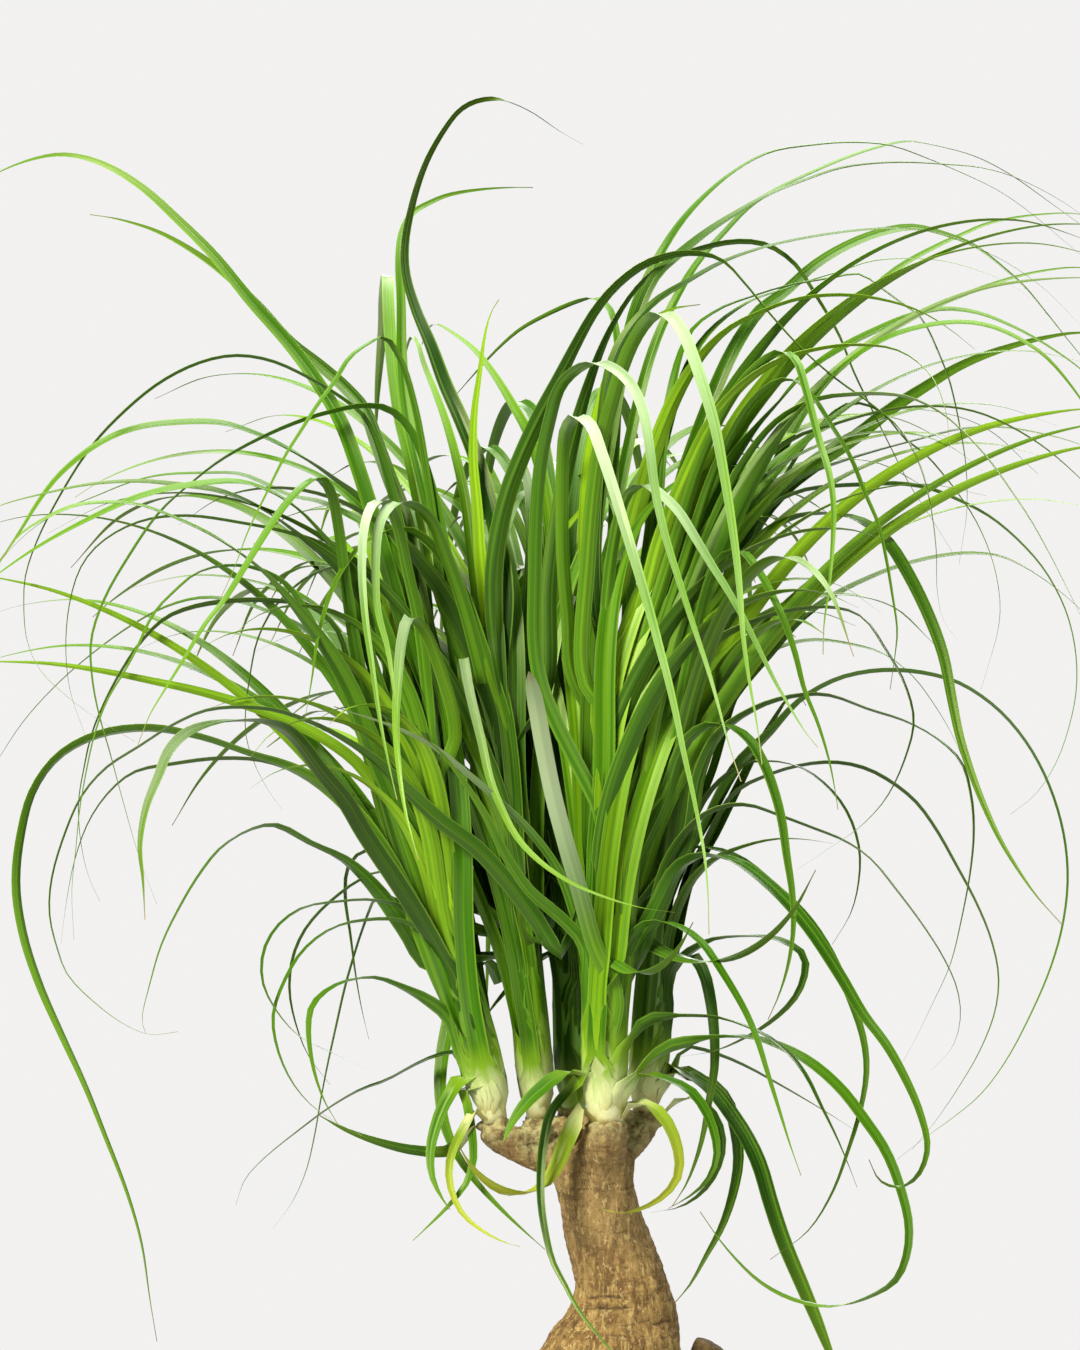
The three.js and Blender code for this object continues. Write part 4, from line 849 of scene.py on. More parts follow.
def traced_leaf(leaf):
    """A leaf of the tables: its shell, laid as the model's leaf is."""
    name, shoot_name, tone_name, up, width, forward, twist, route = leaf
    shoot = shoots[shoot_name]
    points = []
    for index, (x, y) in enumerate(route):
        fraction = (index + 1) / len(route)
        points.append(shoot.outside(place(x, y, shoot.forward + forward * fraction**FORWARD_GROWTH)))
    centre = shoot.axis.at(up)
    direction = shoot.axis.along(up)
    out = points[len(points) // 2] - centre
    out = unit(out - direction * np.dot(out, direction))
    foot = centre + out * (shoot.radius_at(up) + GAP + CAD_LEAF_THICKNESS / 2)
    lead = foot_run(shoot, up, out)
    curve = Curve(lead + [foot] + points)
    start = curve.travel[SPAN_STEPS * len(lead)] / curve.length
    end = curve.at(0.8)
    level = unit(np.array([end[1] - foot[1], foot[0] - end[0], 0.0]))
    breadth = np.cross(out, direction)
    if np.dot(level, breadth) < 0:
        breadth = -breadth
    rng = random.Random(name)
    tone, age, pale = TONES[tone_name]
    tone = min(1, max(0, tone + rng.uniform(-TONE_SPREAD, TONE_SPREAD)))
    full = BLUNT_ENDED.get(name, OLD_TAPER if age else TAPER)
    facing = FACING_RIGHT if shoot_name == "right" and pale < 0.9 else FACING
    across = blade_across(curve, breadth, level, start, twist, facing)
    return leaf_shell(curve, across, start, -out, shoot, up,
                      width * (SHRINK - SHEEN_SHRINK * pale), full, tone, age, pale, rng.uniform(*RIPPLES))


GROWN_STEPS = 34
GROWN_LEAST = 12
SHOOT_LEAN_FADES = 3.5
FAN_BY = 0.25


def level_way(degrees):
    """The level direction at an angle: 0 to the front, 90 to the right."""
    return np.array([math.sin(math.radians(degrees)), -math.cos(math.radians(degrees)), 0.0])


def grown_leaf(shoot, up, side, azimuth, top, width, lean, droop, power, tone, pale, fan):
    """A leaf grown by rule: it clasps its shoot, rises with a lean and arches over under its weight.

    side is the face of the shoot that it clasps and azimuth the way it arches, in degrees, 0 to the
    front and 90 to the right. lean and droop are the angles from upright at the foot and at the tip,
    power says how late the arch comes, fan is how far the leaf leans to the right all along, and
    top is the height of its arch.
    """
    clasped, out = level_way(side), level_way(azimuth)
    rise = np.array([0, 0, 1.0])
    centre = shoot.axis.at(up)
    direction = shoot.axis.along(up)
    flat = unit(clasped - direction * np.dot(clasped, direction))
    foot = centre + flat * (shoot.skin(up) + GAP)
    steps = np.linspace(0, 1, GROWN_STEPS)
    angle = np.radians(lean + (droop - lean) * steps**power)
    heading = (out * np.sin(angle)[:, None] + rise * np.cos(angle)[:, None]
               + (direction - rise) * np.exp(-steps * SHOOT_LEAN_FADES)[:, None]
               + np.array([1.0, 0, 0]) * (fan * smooth(steps, 0, FAN_BY))[:, None])
    line = np.cumsum(np.vstack([np.zeros(3), unit(heading)[:-1]]), axis=0)
    line = foot + line * (top - foot[2]) / line[:, 2].max()
    kept = next((k for k, point in enumerate(line) if not inside(point[None, :])), len(line))
    line = line[:max(kept, GROWN_LEAST)]
    lead = foot_run(shoot, up, flat)
    curve = Curve(lead + list(line[:-1:3]) + [line[-1]])
    start = curve.travel[SPAN_STEPS * len(lead)] / curve.length
    level = np.cross(out, rise)
    breadth = np.cross(clasped, rise)
    breadth = breadth if np.dot(breadth, level) > 0 else -breadth
    return leaf_shell(curve, blade_across(curve, breadth, level, start), start, -flat, shoot, up, width,
                      GROWN_TAPER, tone, 0, pale)


def inside(vertices, margin=1 * MM):
    """Whether the vertices stay in the model's box."""
    low = np.array(cad_box[0]) + margin
    high = np.array(cad_box[1]) - margin
    return bool(np.all(vertices.min(axis=0) > low) and np.all(vertices.max(axis=0) < high))


# ---- node materials ----

class Nodes:
    """A short way to write a procedural material."""

    def __init__(self, name):
        self.material = bpy.data.materials.new(name)
        self.material.use_nodes = True
        self.tree = self.material.node_tree
        self.shader = self.tree.nodes["Principled BSDF"]

    def link(self, source, target):
        if isinstance(source, (int, float)):
            target.default_value = source
        elif isinstance(source, tuple):
            target.default_value = (*source, 1.0) if len(source) == 3 and target.type == "RGBA" else source
        else:
            self.tree.links.new(source, target)

    def new(self, kind, **settings):
        node = self.tree.nodes.new(kind)
        for key, value in settings.items():
            setattr(node, key, value)
        return node

    def value(self, name):
        return self.new("ShaderNodeAttribute", attribute_name=name).outputs["Fac"]

    def math(self, operation, a, b=0.0, c=0.0):
        node = self.new("ShaderNodeMath", operation=operation)
        for socket, source in zip(node.inputs, (a, b, c)):
            self.link(source, socket)
        return node.outputs[0]

    def times(self, a, b):
        return self.math("MULTIPLY", a, b)

    def plus(self, a, b):
        return self.math("ADD", a, b)

    def span(self, source, low, high, to_low=0.0, to_high=1.0):
        node = self.new("ShaderNodeMapRange", interpolation_type="SMOOTHSTEP")
        for socket, part in zip(node.inputs, (source, low, high, to_low, to_high)):
            self.link(part, socket)
        return node.outputs[0]

    def mix(self, factor, a, b, blend="MIX"):
        node = self.new("ShaderNodeMix", data_type="RGBA", blend_type=blend)
        self.link(factor, node.inputs["Factor"])
        self.link(a, node.inputs[6])
        self.link(b, node.inputs[7])
        return node.outputs[2]

    def position(self, scale=(1, 1, 1)):
        node = self.new("ShaderNodeMapping")
        node.inputs["Scale"].default_value = scale
        self.link(self.new("ShaderNodeTexCoord").outputs["Object"], node.inputs["Vector"])
        return node.outputs["Vector"]

    def vector(self, x, y, z):
        node = self.new("ShaderNodeCombineXYZ")
        for socket, source in zip(node.inputs, (x, y, z)):
            self.link(source, socket)
        return node.outputs[0]

    def noise(self, vector, scale, detail=4.0, rough=0.6, warp=0.0):
        node = self.new("ShaderNodeTexNoise")
        self.link(vector, node.inputs["Vector"])
        for key, number in (("Scale", scale), ("Detail", detail), ("Roughness", rough), ("Distortion", warp)):
            node.inputs[key].default_value = number
        return node.outputs["Fac"]

    def finish(self, color, roughness, height=None, relief=0.3, depth=0.0005, **constants):
        self.link(color, self.shader.inputs["Base Color"])
        self.link(roughness, self.shader.inputs["Roughness"])
        if height is not None:
            bump = self.new("ShaderNodeBump")
            bump.inputs["Strength"].default_value = relief
            bump.inputs["Distance"].default_value = depth
            self.link(height, bump.inputs["Height"])
            self.link(bump.outputs["Normal"], self.shader.inputs["Normal"])
        for key, number in constants.items():
            self.shader.inputs[key.replace("_", " ")].default_value = number
        return self.material


def leaf_material():
    """A waxy leaf: fine parallel veins, a pale foot, a paler underside and a dry brown tip; a painted
    highlight round its bend, and its outer part lighter, partly its own colour and partly painted light.
    """
    n = Nodes("leaf_green")
    along, across, tone = n.value("along"), n.value("across"), n.value("tone")
    reach, under = n.value("reach"), n.value("under")
    streak_space = n.vector(n.times(across, 2.0), n.times(reach, 2.0),
                            n.times(tone, 37.0))
    veins = n.noise(streak_space, 2.0, 1.0, 0.5)
    patch = n.noise(n.vector(tone, reach, across), 3.0, 2.0, 0.5)
    edge = n.span(n.math("ABSOLUTE", across), 0.86, 0.97)
    shade = n.plus(tone, n.times(n.math("SUBTRACT", patch, 0.5), 0.5))
    color = n.mix(n.span(shade, 0.0, 0.5), (0.008, 0.036, 0.003), (0.042, 0.145, 0.003))
    color = n.mix(n.span(shade, 0.42, 0.95), color, (0.23, 0.42, 0.008))
    color = n.mix(n.span(veins, 0.50, 0.64, 0.0, 0.3), color, (0.15, 0.30, 0.008))
    color = n.mix(n.span(veins, 0.36, 0.48, 0.35, 0.0), color, (0.012, 0.055, 0.003))
    color = n.mix(n.times(edge, 0.35), color, (0.22, 0.36, 0.04))
    color = n.mix(n.times(under, 0.15), color, (0.11, 0.22, 0.03))
    # Painted sheen: pale and white leaves are whitened round their bend, a painted highlight.
    color = n.mix(n.times(n.value("pale"), 0.85), color, (0.40, 0.48, 0.31))
    # Lighter towards the tip: partly the leaf's own paler tip, partly painted light where the arch is lit
    # from above.
    color = n.mix(n.span(along, 0.4, 0.95, 0.0, 0.25), color, (0.20, 0.33, 0.025))
    level = n.plus(n.value("level"), n.times(n.math("SUBTRACT", patch, 0.5), 0.08))
    color = n.mix(n.span(level, 0.13, 0.27, 0.6, 0.0), color, (0.22, 0.38, 0.015))
    color = n.mix(n.span(level, 0.05, 0.155, 1.0, 0.0), color, (0.55, 0.60, 0.27))
    color = n.mix(n.span(level, 0.00, 0.06, 0.85, 0.0), color, (0.40, 0.31, 0.09))
    old = n.times(n.value("age"), n.span(patch, 0.3, 0.6, 0.6, 1.0))
    color = n.mix(old, color, (0.34, 0.37, 0.03))
    dry = n.span(n.plus(along, n.times(patch, 0.1)), 0.99, 1.07)
    color = n.mix(dry, color, (0.20, 0.12, 0.045))
    rough = n.span(veins, 0.3, 0.7, 0.28, 0.44)
    return n.finish(color, rough, Specular_IOR_Level=0.27, Specular_Tint=(0.9, 1.0, 0.5, 1.0))


def sheath_material():
    """The clasped leaf feet: nearly white at the foot, then yellow-green, with long pale veins."""
    n = Nodes("shoot_sheath")
    level = n.value("level")
    streak_space = n.vector(n.times(n.value("across"), 6.0), n.times(level, 3.0), 0.5)
    veins = n.noise(streak_space, 3.0)
    color = n.mix(n.span(level, 0.06, 0.16), (0.60, 0.63, 0.33), (0.28, 0.44, 0.04))
    color = n.mix(n.span(level, 0.13, 0.27), color, (0.085, 0.22, 0.008))
    color = n.mix(n.span(level, 0.3, 0.7), color, (0.040, 0.14, 0.005))
    color = n.mix(n.span(veins, 0.45, 0.75, 0.0, 0.35), color, (0.30, 0.42, 0.08))
    color = n.mix(n.span(veins, 0.25, 0.42, 0.3, 0.0), color, (0.02, 0.08, 0.005))
    stain = n.noise(n.position(), 90.0, 4.0, 0.7)
    foot = n.times(n.span(level, 0.0, 0.05, 0.9, 0.0), n.span(stain, 0.4, 0.6, 0.4, 1.0))
    color = n.mix(foot, color, (0.46, 0.37, 0.13))
    return n.finish(color, n.span(veins, 0.2, 0.8, 0.34, 0.5), veins, 0.3, 0.0004,
                    Subsurface_Weight=0.15, Subsurface_Scale=0.004)


def bark_material():
    """Tan bark: wrinkled at the neck, fibrous and grainy below, with flecks, blotches and level cracks."""
    n = Nodes("trunk_bark")
    here = n.position()
    fibres = n.noise(n.position((1, 1, 0.14)), 300.0, 5.0, 0.7, 0.4)
    rings = n.noise(n.position((0.20, 0.20, 1)), 240.0, 5.0, 0.65, 0.8)
    patches = n.noise(n.position((1, 1, 0.7)), 80.0, 6.0, 0.75)
    flecks = n.noise(n.position((1, 1, 0.6)), 360.0, 5.0, 0.75)
    specks = n.noise(n.position((1.1, 1, 0.45)), 300.0, 6.0, 0.75, 0.5)
    blotch = n.noise(here, 130.0, 6.0, 0.8)
    split = n.new("ShaderNodeSeparateXYZ")
    n.link(here, split.inputs[0])
    height = split.outputs[2]
    rough_part = n.span(height, 0.262, 0.325, 1.0, 0.4)
    color = n.mix(n.span(patches, 0.42, 0.58), (0.150, 0.084, 0.020), (0.32, 0.200, 0.058))
    color = n.mix(n.span(height, 0.275, 0.315, 0.0, 0.4), color, (0.26, 0.185, 0.075))
    color = n.mix(n.times(n.span(fibres, 0.52, 0.62), rough_part), color, (0.44, 0.30, 0.10))
    color = n.mix(n.times(n.span(fibres, 0.34, 0.46, 0.95, 0.0), rough_part), color,
                  (0.085, 0.045, 0.012))
    color = n.mix(n.span(rings, 0.36, 0.46, 0.65, 0.0), color, (0.105, 0.058, 0.017))
    color = n.mix(n.times(n.span(blotch, 0.53, 0.62, 0.0, 0.9), rough_part), color,
                  (0.150, 0.058, 0.020))
    color = n.mix(n.span(flecks, 0.54, 0.62, 0.0, 0.7), color, (0.52, 0.39, 0.16))
    color = n.mix(n.span(specks, 0.37, 0.44, 0.75, 0.0), color, (0.070, 0.036, 0.011))
    mottle = n.noise(here, 210.0, 4.0, 0.7)
    knob = n.mix(n.span(mottle, 0.34, 0.60), (0.13, 0.085, 0.028), (0.40, 0.37, 0.155))
    color = n.mix(n.times(n.value("knob"), 0.85), color, knob)
    color = n.mix(n.value("scar"), color, (0.030, 0.017, 0.008))
    color = n.mix(n.span(height, 0.168, 0.188, 0.75, 0.0), color, (0.045, 0.028, 0.016))
    relief = n.plus(n.times(fibres, n.times(rough_part, 0.8)),
                    n.times(rings, 0.6))
    for part, weight in ((flecks, 0.35), (specks, 0.45), (blotch, 0.5)):
        relief = n.plus(relief, n.times(part, weight))
    return n.finish(color, n.span(flecks, 0.3, 0.7, 0.72, 0.95), relief, 1.0, 0.0014,
                    Specular_IOR_Level=0.3)


def soil_material():
    n = Nodes("dark_soil")
    here = n.position()
    coarse = n.noise(here, 60.0, 5.0, 0.7)
    fine = n.noise(here, 520.0, 5.0, 0.75)
    color = n.mix(n.span(coarse, 0.3, 0.7), (0.018, 0.010, 0.006), (0.065, 0.038, 0.021))
    color = n.mix(n.span(fine, 0.55, 0.75, 0.0, 0.6), color, (0.13, 0.085, 0.05))
    return n.finish(color, 0.94, fine, 0.8, 0.001, Specular_IOR_Level=0.25)


def chip_material(name, dark, light, roughness):
    n = Nodes(name)
    grain = n.noise(n.position((1, 0.4, 1)), 700.0, 5.0, 0.7)
    color = n.mix(n.span(grain, 0.3, 0.7), dark, light)
    return n.finish(color, roughness, grain, 0.6, 0.0006)


def pot_material():
    """Fired clay with a matt grey glaze: faint turning lines, mineral specks and rubbed edges."""
    n = Nodes("pot_clay")
    here = n.position()
    cloud = n.noise(here, 14.0, 4.0, 0.55)
    specks = n.noise(here, 850.0, 2.0, 0.5)
    turning = n.noise(n.position((0.12, 0.12, 1)), 420.0, 3.0, 0.6)
    split = n.new("ShaderNodeSeparateXYZ")
    n.link(here, split.inputs[0])
    color = n.mix(n.span(cloud, 0.3, 0.7), (0.245, 0.235, 0.215), (0.315, 0.305, 0.285))
    color = n.mix(n.span(specks, 0.66, 0.72, 0.0, 0.7), color, (0.075, 0.065, 0.055))
    color = n.mix(n.span(specks, 0.27, 0.33, 0.5, 0.0), color, (0.52, 0.50, 0.46))
    color = n.mix(n.span(split.outputs[2], 0.0, 0.006, 0.5, 0.0), color, (0.42, 0.36, 0.29))
    height = n.plus(n.times(turning, 0.8), n.times(specks, 0.2))
    return n.finish(color, n.span(cloud, 0.3, 0.7, 0.48, 0.62), height, 0.35, 0.0005)


def plain_material(name, color, roughness):
    n = Nodes(name)
    tint = n.span(n.noise(n.position(), 3.0, 2.0), 0.3, 0.7)
    lighter = tuple(min(1, part * 1.02) for part in color)
    return n.finish(n.mix(tint, color, lighter), roughness)


# ---- pot ----

POT_BASE_SHARE = 0.781
POT_WALL = 6 * MM
POT_RIM_BAND = 22 * MM
POT_FOOT_EDGE = 3 * MM
POT_LIP = 2.2 * MM
POT_FLOOR_TURN = 10.2 * MM
POT_SIDES = 128


def pot_profile():
    """Radius and height from the middle of the underside, over the rim, to the middle of the inside."""
    low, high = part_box("pot")
    rim, tall = (high[0] - low[0]) / 2, high[2]
    base = rim * POT_BASE_SHARE
    edge, lip, wall = POT_FOOT_EDGE, POT_LIP, POT_WALL

    def arc(radius, height, size, start, stop, steps=6):
        return [(radius + size * math.cos(math.radians(a)), height + size * math.sin(math.radians(a)))
                for a in np.linspace(start, stop, steps)]

    points = [(0, 0), (base * 0.5, 0), (base - edge, 0)]
    points += arc(base - edge, edge, edge, -80, -10)
    shoulder = tall - POT_RIM_BAND
    for t in np.linspace(0.04, 0.96, 14):
        points.append((base + (rim - edge - base) * t, edge + (shoulder - edge) * t))
    points += arc(rim - 3.4 * MM, shoulder - 0.2 * MM, 1.2 * MM, 150, 200, 3)[::-1]
    points += arc(rim - 1.4 * MM, shoulder + 2.2 * MM, 1.4 * MM, -80, 0, 5)
    points += arc(rim - lip, tall - lip, lip, 0, 90)
    points += arc(rim - wall + lip, tall - lip, lip, 90, 180)
    inner = base - wall
    for t in np.linspace(0.03, 0.97, 12):
        points.append((rim - wall - (rim - wall - inner) * t, tall - lip - (tall - POT_FLOOR_TURN) * t))
    points += [(inner - 2 * MM, wall), (inner * 0.5, wall), (0, wall)]
    return points


def build_pot(material):
    points = pot_profile()
    sides = POT_SIDES
    vertices = [(0, 0, points[0][1])]
    for radius, height in points[1:-1]:
        vertices += circle(radius, height, sides)
    vertices.append((0, 0, points[-1][1]))
    faces = []
    rings = len(points) - 2
    for side in range(sides):
        after = (side + 1) % sides
        faces.append((0, 1 + after, 1 + side))
        for ring in range(rings - 1):
            low = 1 + ring * sides
            faces.append((low + side, low + after, low + sides + after, low + sides + side))
        top = 1 + (rings - 1) * sides
        faces.append((top + side, top + after, len(vertices) - 1))
    pot = make_object("plain_pot", vertices, faces, material=material)
    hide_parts("pot")
    return pot


# ---- trunk ----

# Sketch y, sketch x of the middle, and diameter in millimetres, from the neck down to the buried foot.
TRUNK_RINGS = [
    (1150, 597, 40), (1158, 596, 45), (1180, 594, 44.6), (1206, 600, 45), (1232, 607, 47),
    (1261, 616, 49.5), (1286, 621.5, 52), (1305, 621.5, 58), (1322, 617.5, 65.5), (1335, 613, 72.5),
    (1350, 609.5, 78), (1370, 603, 94), (1392, 597, 114), (1412, 592, 129), (1432, 590, 137),
    (1455, 590, 136), (1480, 592, 127), (1510, 595, 108), (1535, 597, 82), (1552, 598, 50),
]
BARK_WAVE = 0.025
NECK = (597, 1162)
STUMP_BEND = 0.006
HEEL = 11.5
COLLAR_RISE = 0.0015
COLLAR_LUMPS = 9
DRY_STUB = [(655, 1420), (700, 1368), (711, 1344)]
DRY_STUB_FORWARD = -6
BARK_VOXEL = 0.0013
SCAR_DEPTH = 0.85
DRY_DEPTH = 0.7
KNOB_ROUND_FOOT = (0.009, 0.017)
KNOB_ROUND_HEEL = (0.011, 0.017)
DRY_ROUND_END = (0.012, 0.022)
HEEL_SHARE = 0.62
LUMP_SIZES = (2.4, 4.4)
OTHER_CRACKS = 4
CRACK_HALF_HEIGHT = 0.0007
CRACK_WOBBLE = 0.0012
CRACK_GROOVE = 0.0009
KNOB_LUMPS = 0.0026
FRONT_CRACKS = [(0.2739, -0.25, 0.5), (0.2684, -0.1, 0.45)]


def round_tube(curve, radius_at, sides=20, count=24):
    """A closed round tube along a curve."""
    fractions = np.linspace(0, 1, count)
    centre, along = curve.at(fractions), curve.along(fractions)
    across = unit(np.cross(np.array([0, 1.0, 0]), along))
    ahead = np.cross(along, across)
    angles = 2 * np.pi * np.arange(sides) / sides
    radius = np.array([radius_at(f) for f in fractions])[:, None, None]
    ring = centre[:, None, :] + radius * (across[:, None, :] * np.cos(angles)[None, :, None]
                                          + ahead[:, None, :] * np.sin(angles)[None, :, None])
    return ring.reshape(-1, 3), tube_faces(count, sides)


def trunk_shell(sides=96):
    """The trunk's skin, rings from the buried foot up, smoothed between the rings of the table."""
    heights = [ring[0] for ring in TRUNK_RINGS]
    rows = np.linspace(heights[-1], heights[0], 110)
    middle = np.interp(rows, heights, [ring[1] for ring in TRUNK_RINGS])
    across = np.interp(rows, heights, [ring[2] for ring in TRUNK_RINGS]) * MM / 2
    kernel = np.array([1, 3, 4, 3, 1]) / 12
    middle[2:-2] = np.convolve(middle, kernel, "same")[2:-2]
    across[2:-2] = np.convolve(across, kernel, "same")[2:-2]
    vertices = []
    for row, x, radius in zip(rows, middle, across):
        centre = place(x, row, 0)
        for side in range(sides):
            angle = 2 * math.pi * side / sides
            wide = radius * (1 + BARK_WAVE * math.sin(3 * angle + row / 40))
            vertices.append((centre[0] + wide * math.cos(angle), centre[1] + wide * math.sin(angle),
                             centre[2]))
    return np.array(vertices), tube_faces(len(rows), sides)


def heel(shoot):
    """The middle of the swollen joint under a shoot."""
    neck = place(*NECK, 0)
    return neck + (shoot.axis.at(0.0) - neck) * HEEL_SHARE


def stump_shells(shoot, rng):
    """The woody knob under a shoot: a short arm from the neck, with a lumpy collar round the shoot's foot."""
    foot, along = shoot.axis.at(0.0), shoot.axis.along(0.0)
    neck = place(*NECK, 0)
    start = neck + (foot - neck) * np.array([0.3, 0.3, 0])
    radius = float(shoot.skin(0))
    curve = Curve([start, foot - along * STUMP_BEND, foot + along * COLLAR_RISE])
    shells = [round_tube(curve, lambda f: radius * (1.6 - 0.4 * f - 1.2 * max(0, f - 0.88)))]
    shells.append(crumb(heel(shoot), HEEL * MM, (1, 1, 0.95), rng))
    side = unit(np.cross(along, np.array([0, 1.0, 0])))
    ahead = np.cross(side, along)
    for turn in range(COLLAR_LUMPS):
        angle = 2 * math.pi * (turn + rng.random()) / COLLAR_LUMPS
        out = side * math.cos(angle) + ahead * math.sin(angle)
        spot = foot + out * radius * rng.uniform(1.0, 1.2) + along * rng.uniform(-9, -1) * MM
        shells.append(crumb(spot, rng.uniform(*LUMP_SIZES) * MM, (1, 1, 0.8), rng))
    return shells


def bark_relief(point):
    """How far the bark stands proud at a point: fissures that run upwards, ring scars and lumps."""
    x, y, z = point
    fissure = noise.fractal(Vector((x * 230, y * 230, z * 24)), 0.9, 2.1, 4)
    ring = noise.fractal(Vector((x * 30, y * 30, z * 300)), 0.9, 2.1, 3)
    lump = noise.fractal(Vector((x * 42, y * 42, z * 42)), 1.0, 2.0, 3)
    return -0.0006 * abs(fissure) + 0.00045 * ring + 0.0011 * lump - 0.0001


def crack_marks(places):
    """How deep each place lies in one of the level cracks of the bark, from 0 to 1."""
    rng = random.Random("cracks")
    marks = np.zeros(len(places))
    turns = np.arctan2(places[:, 0] - 0.008, -places[:, 1])
    wobble = np.array([noise.noise(Vector(place_at * 90)) for place_at in places.astype(float)])
    others = [(rng.uniform(0.235, 0.335), rng.uniform(-3, 3), rng.uniform(0.08, 0.3))
              for _ in range(OTHER_CRACKS)]
    for height, middle, reach in FRONT_CRACKS + others:
        level = np.exp(-((places[:, 2] - height - CRACK_WOBBLE * wobble) / CRACK_HALF_HEIGHT) ** 2)
        away = np.abs((turns - middle + np.pi) % (2 * np.pi) - np.pi)
        marks = np.maximum(marks, level * (1 - smooth(away, 0.6 * reach, reach)))
    return marks


def build_trunk(material):
    pile = Pile([])
    rng = random.Random("collar")
    shells = [trunk_shell()]
    for shoot in shoots.values():
        shells += stump_shells(shoot, rng)
    stub = Curve([place(x, y, DRY_STUB_FORWARD) for x, y in DRY_STUB])
    shells.append(round_tube(stub, lambda f: (12 - 3 * f) * MM))
    for vertices, faces in shells:
        pile.add(vertices, faces)
    rough = make_object("trunk_rough", np.vstack(pile.vertices), pile.faces)
    remesh = rough.modifiers.new("remesh", "REMESH")
    remesh.mode = "VOXEL"
    remesh.voxel_size = BARK_VOXEL
    soften = rough.modifiers.new("soften", "SMOOTH")
    soften.iterations = 6
    depsgraph = bpy.context.evaluated_depsgraph_get()
    mesh = bpy.data.meshes.new_from_object(rough.evaluated_get(depsgraph))
    bpy.data.objects.remove(rough)
    places = np.zeros(len(mesh.vertices) * 3, np.float32)
    mesh.vertices.foreach_get("co", places)
    outward = np.zeros_like(places)
    mesh.vertex_normals.foreach_get("vector", outward)
    places, outward = places.reshape(-1, 3), outward.reshape(-1, 3)
    scars = crack_marks(places)
    heels = np.array([heel(shoots[name]) for name in ("left", "right")])
    feet = np.array([shoot.axis.at(0.0) for shoot in shoots.values()])
    nearest = np.linalg.norm(places[:, None, :] - feet[None, :, :], axis=2).min(axis=1)
    to_heel = np.linalg.norm(places[:, None, :] - heels[None, :, :], axis=2).min(axis=1)
    knob = np.maximum(1 - smooth(nearest, *KNOB_ROUND_FOOT), 1 - smooth(to_heel, *KNOB_ROUND_HEEL))
    lumps = np.array([noise.fractal(Vector(point * 165), 0.8, 2.0, 3) for point in places.astype(float)])
    stub_end = np.array(place(*DRY_STUB[-1], DRY_STUB_FORWARD))
    dry = 1 - smooth(np.linalg.norm(places - stub_end, axis=1), *DRY_ROUND_END)
    relief = np.array([bark_relief(point) for point in places])
    relief = relief - CRACK_GROOVE * scars + KNOB_LUMPS * lumps * knob
    mesh.vertices.foreach_set("co", (places + outward * relief[:, None]).ravel())
    dress(mesh, {"scar": np.maximum(scars * SCAR_DEPTH, dry * DRY_DEPTH), "knob": knob})
    mesh.materials.clear()
    mesh.materials.append(material)
    trunk = show("bark_trunk", mesh)
    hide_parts("trunk")
    return trunk


# ---- soil ----

SOIL_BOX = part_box("potting_soil")
SOIL_DROP = 0.0045
SOIL_CLODS = 0.0016
SOIL_SUNK = 0.0024
SOIL_FOOT_SHARE = 0.80
CRUMBS_FROM, CRUMBS_TO = 0.064, 0.0915


def soil_height(x, y):
    """The loose surface: a low mound towards the trunk, with clods."""
    distance = math.hypot(x, y)
    mound = -SOIL_DROP * float(smooth(distance, 0.062, 0.094))
    clods = SOIL_CLODS * noise.fractal(Vector((x * 75, y * 75, 0.3)), 0.8, 2.0, 4)
    return SOIL_BOX[1][2] - SOIL_SUNK + mound + clods


def build_soil(material):
    low, high = SOIL_BOX
    radius = (high[0] - low[0]) / 2
    foot = radius * SOIL_FOOT_SHARE
    sides, rings = 144, 46
    vertices = [(0, 0, soil_height(0, 0))]
    for ring in range(1, rings + 1):
        wide = radius * (ring / rings) ** 0.9
        vertices += [(x, y, soil_height(x, y)) for x, y, _ in circle(wide, 0, sides)]
    vertices += circle(foot, low[2], sides)
    vertices.append((0, 0, low[2]))
    faces = []
    for side in range(sides):
        after = (side + 1) % sides
        faces.append((0, 1 + side, 1 + after))
        for ring in range(rings):
            inner = 1 + ring * sides
            faces.append((inner + side, inner + sides + side, inner + sides + after, inner + after))
        faces.append((1 + rings * sides + side, len(vertices) - 1, 1 + rings * sides + after))
    soil = make_object("loose_soil", vertices, faces, material=material)
    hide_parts("potting_soil")
    return soil


# Strewn on the soil: name, how many, sizes in millimetres, stretch, seed, and the material's name, dark
# and light colours and roughness.
STREWN = [
    ("soil_crumbs", 420, (2.0, 6.0), (1, 0.9, 0.75), 11,
     ("earth_crumb", (0.022, 0.013, 0.008), (0.085, 0.052, 0.03), 0.95)),
    ("wood_chips", 60, (4.0, 9.0), (1, 0.45, 0.28), 12,
     ("wood_chip", (0.12, 0.065, 0.03), (0.26, 0.16, 0.08), 0.85)),
    ("grit", 70, (1.2, 2.8), (1, 0.9, 0.85), 13,
     ("pale_grit", (0.55, 0.53, 0.48), (0.78, 0.76, 0.70), 0.8)),
]


def scatter(name, amount, sizes, stretch, seed, material):
    """Crumbs strewn over the soil between the trunk and the pot's wall."""
    rng = random.Random(seed)
    pile = Pile([])
    for _ in range(amount):
        angle = rng.uniform(0, 2 * math.pi)
        distance = math.sqrt(rng.uniform(CRUMBS_FROM**2, CRUMBS_TO**2))
        x, y = distance * math.cos(angle), distance * math.sin(angle)
        size = rng.uniform(*sizes) * MM / 2
        sunk = soil_height(x, y) + size * stretch[2] * rng.uniform(-0.1, 0.45)
        pile.add(*crumb((x, y, sunk), size, stretch, rng))
    return pile.build(name, material)


# ---- shoots ----

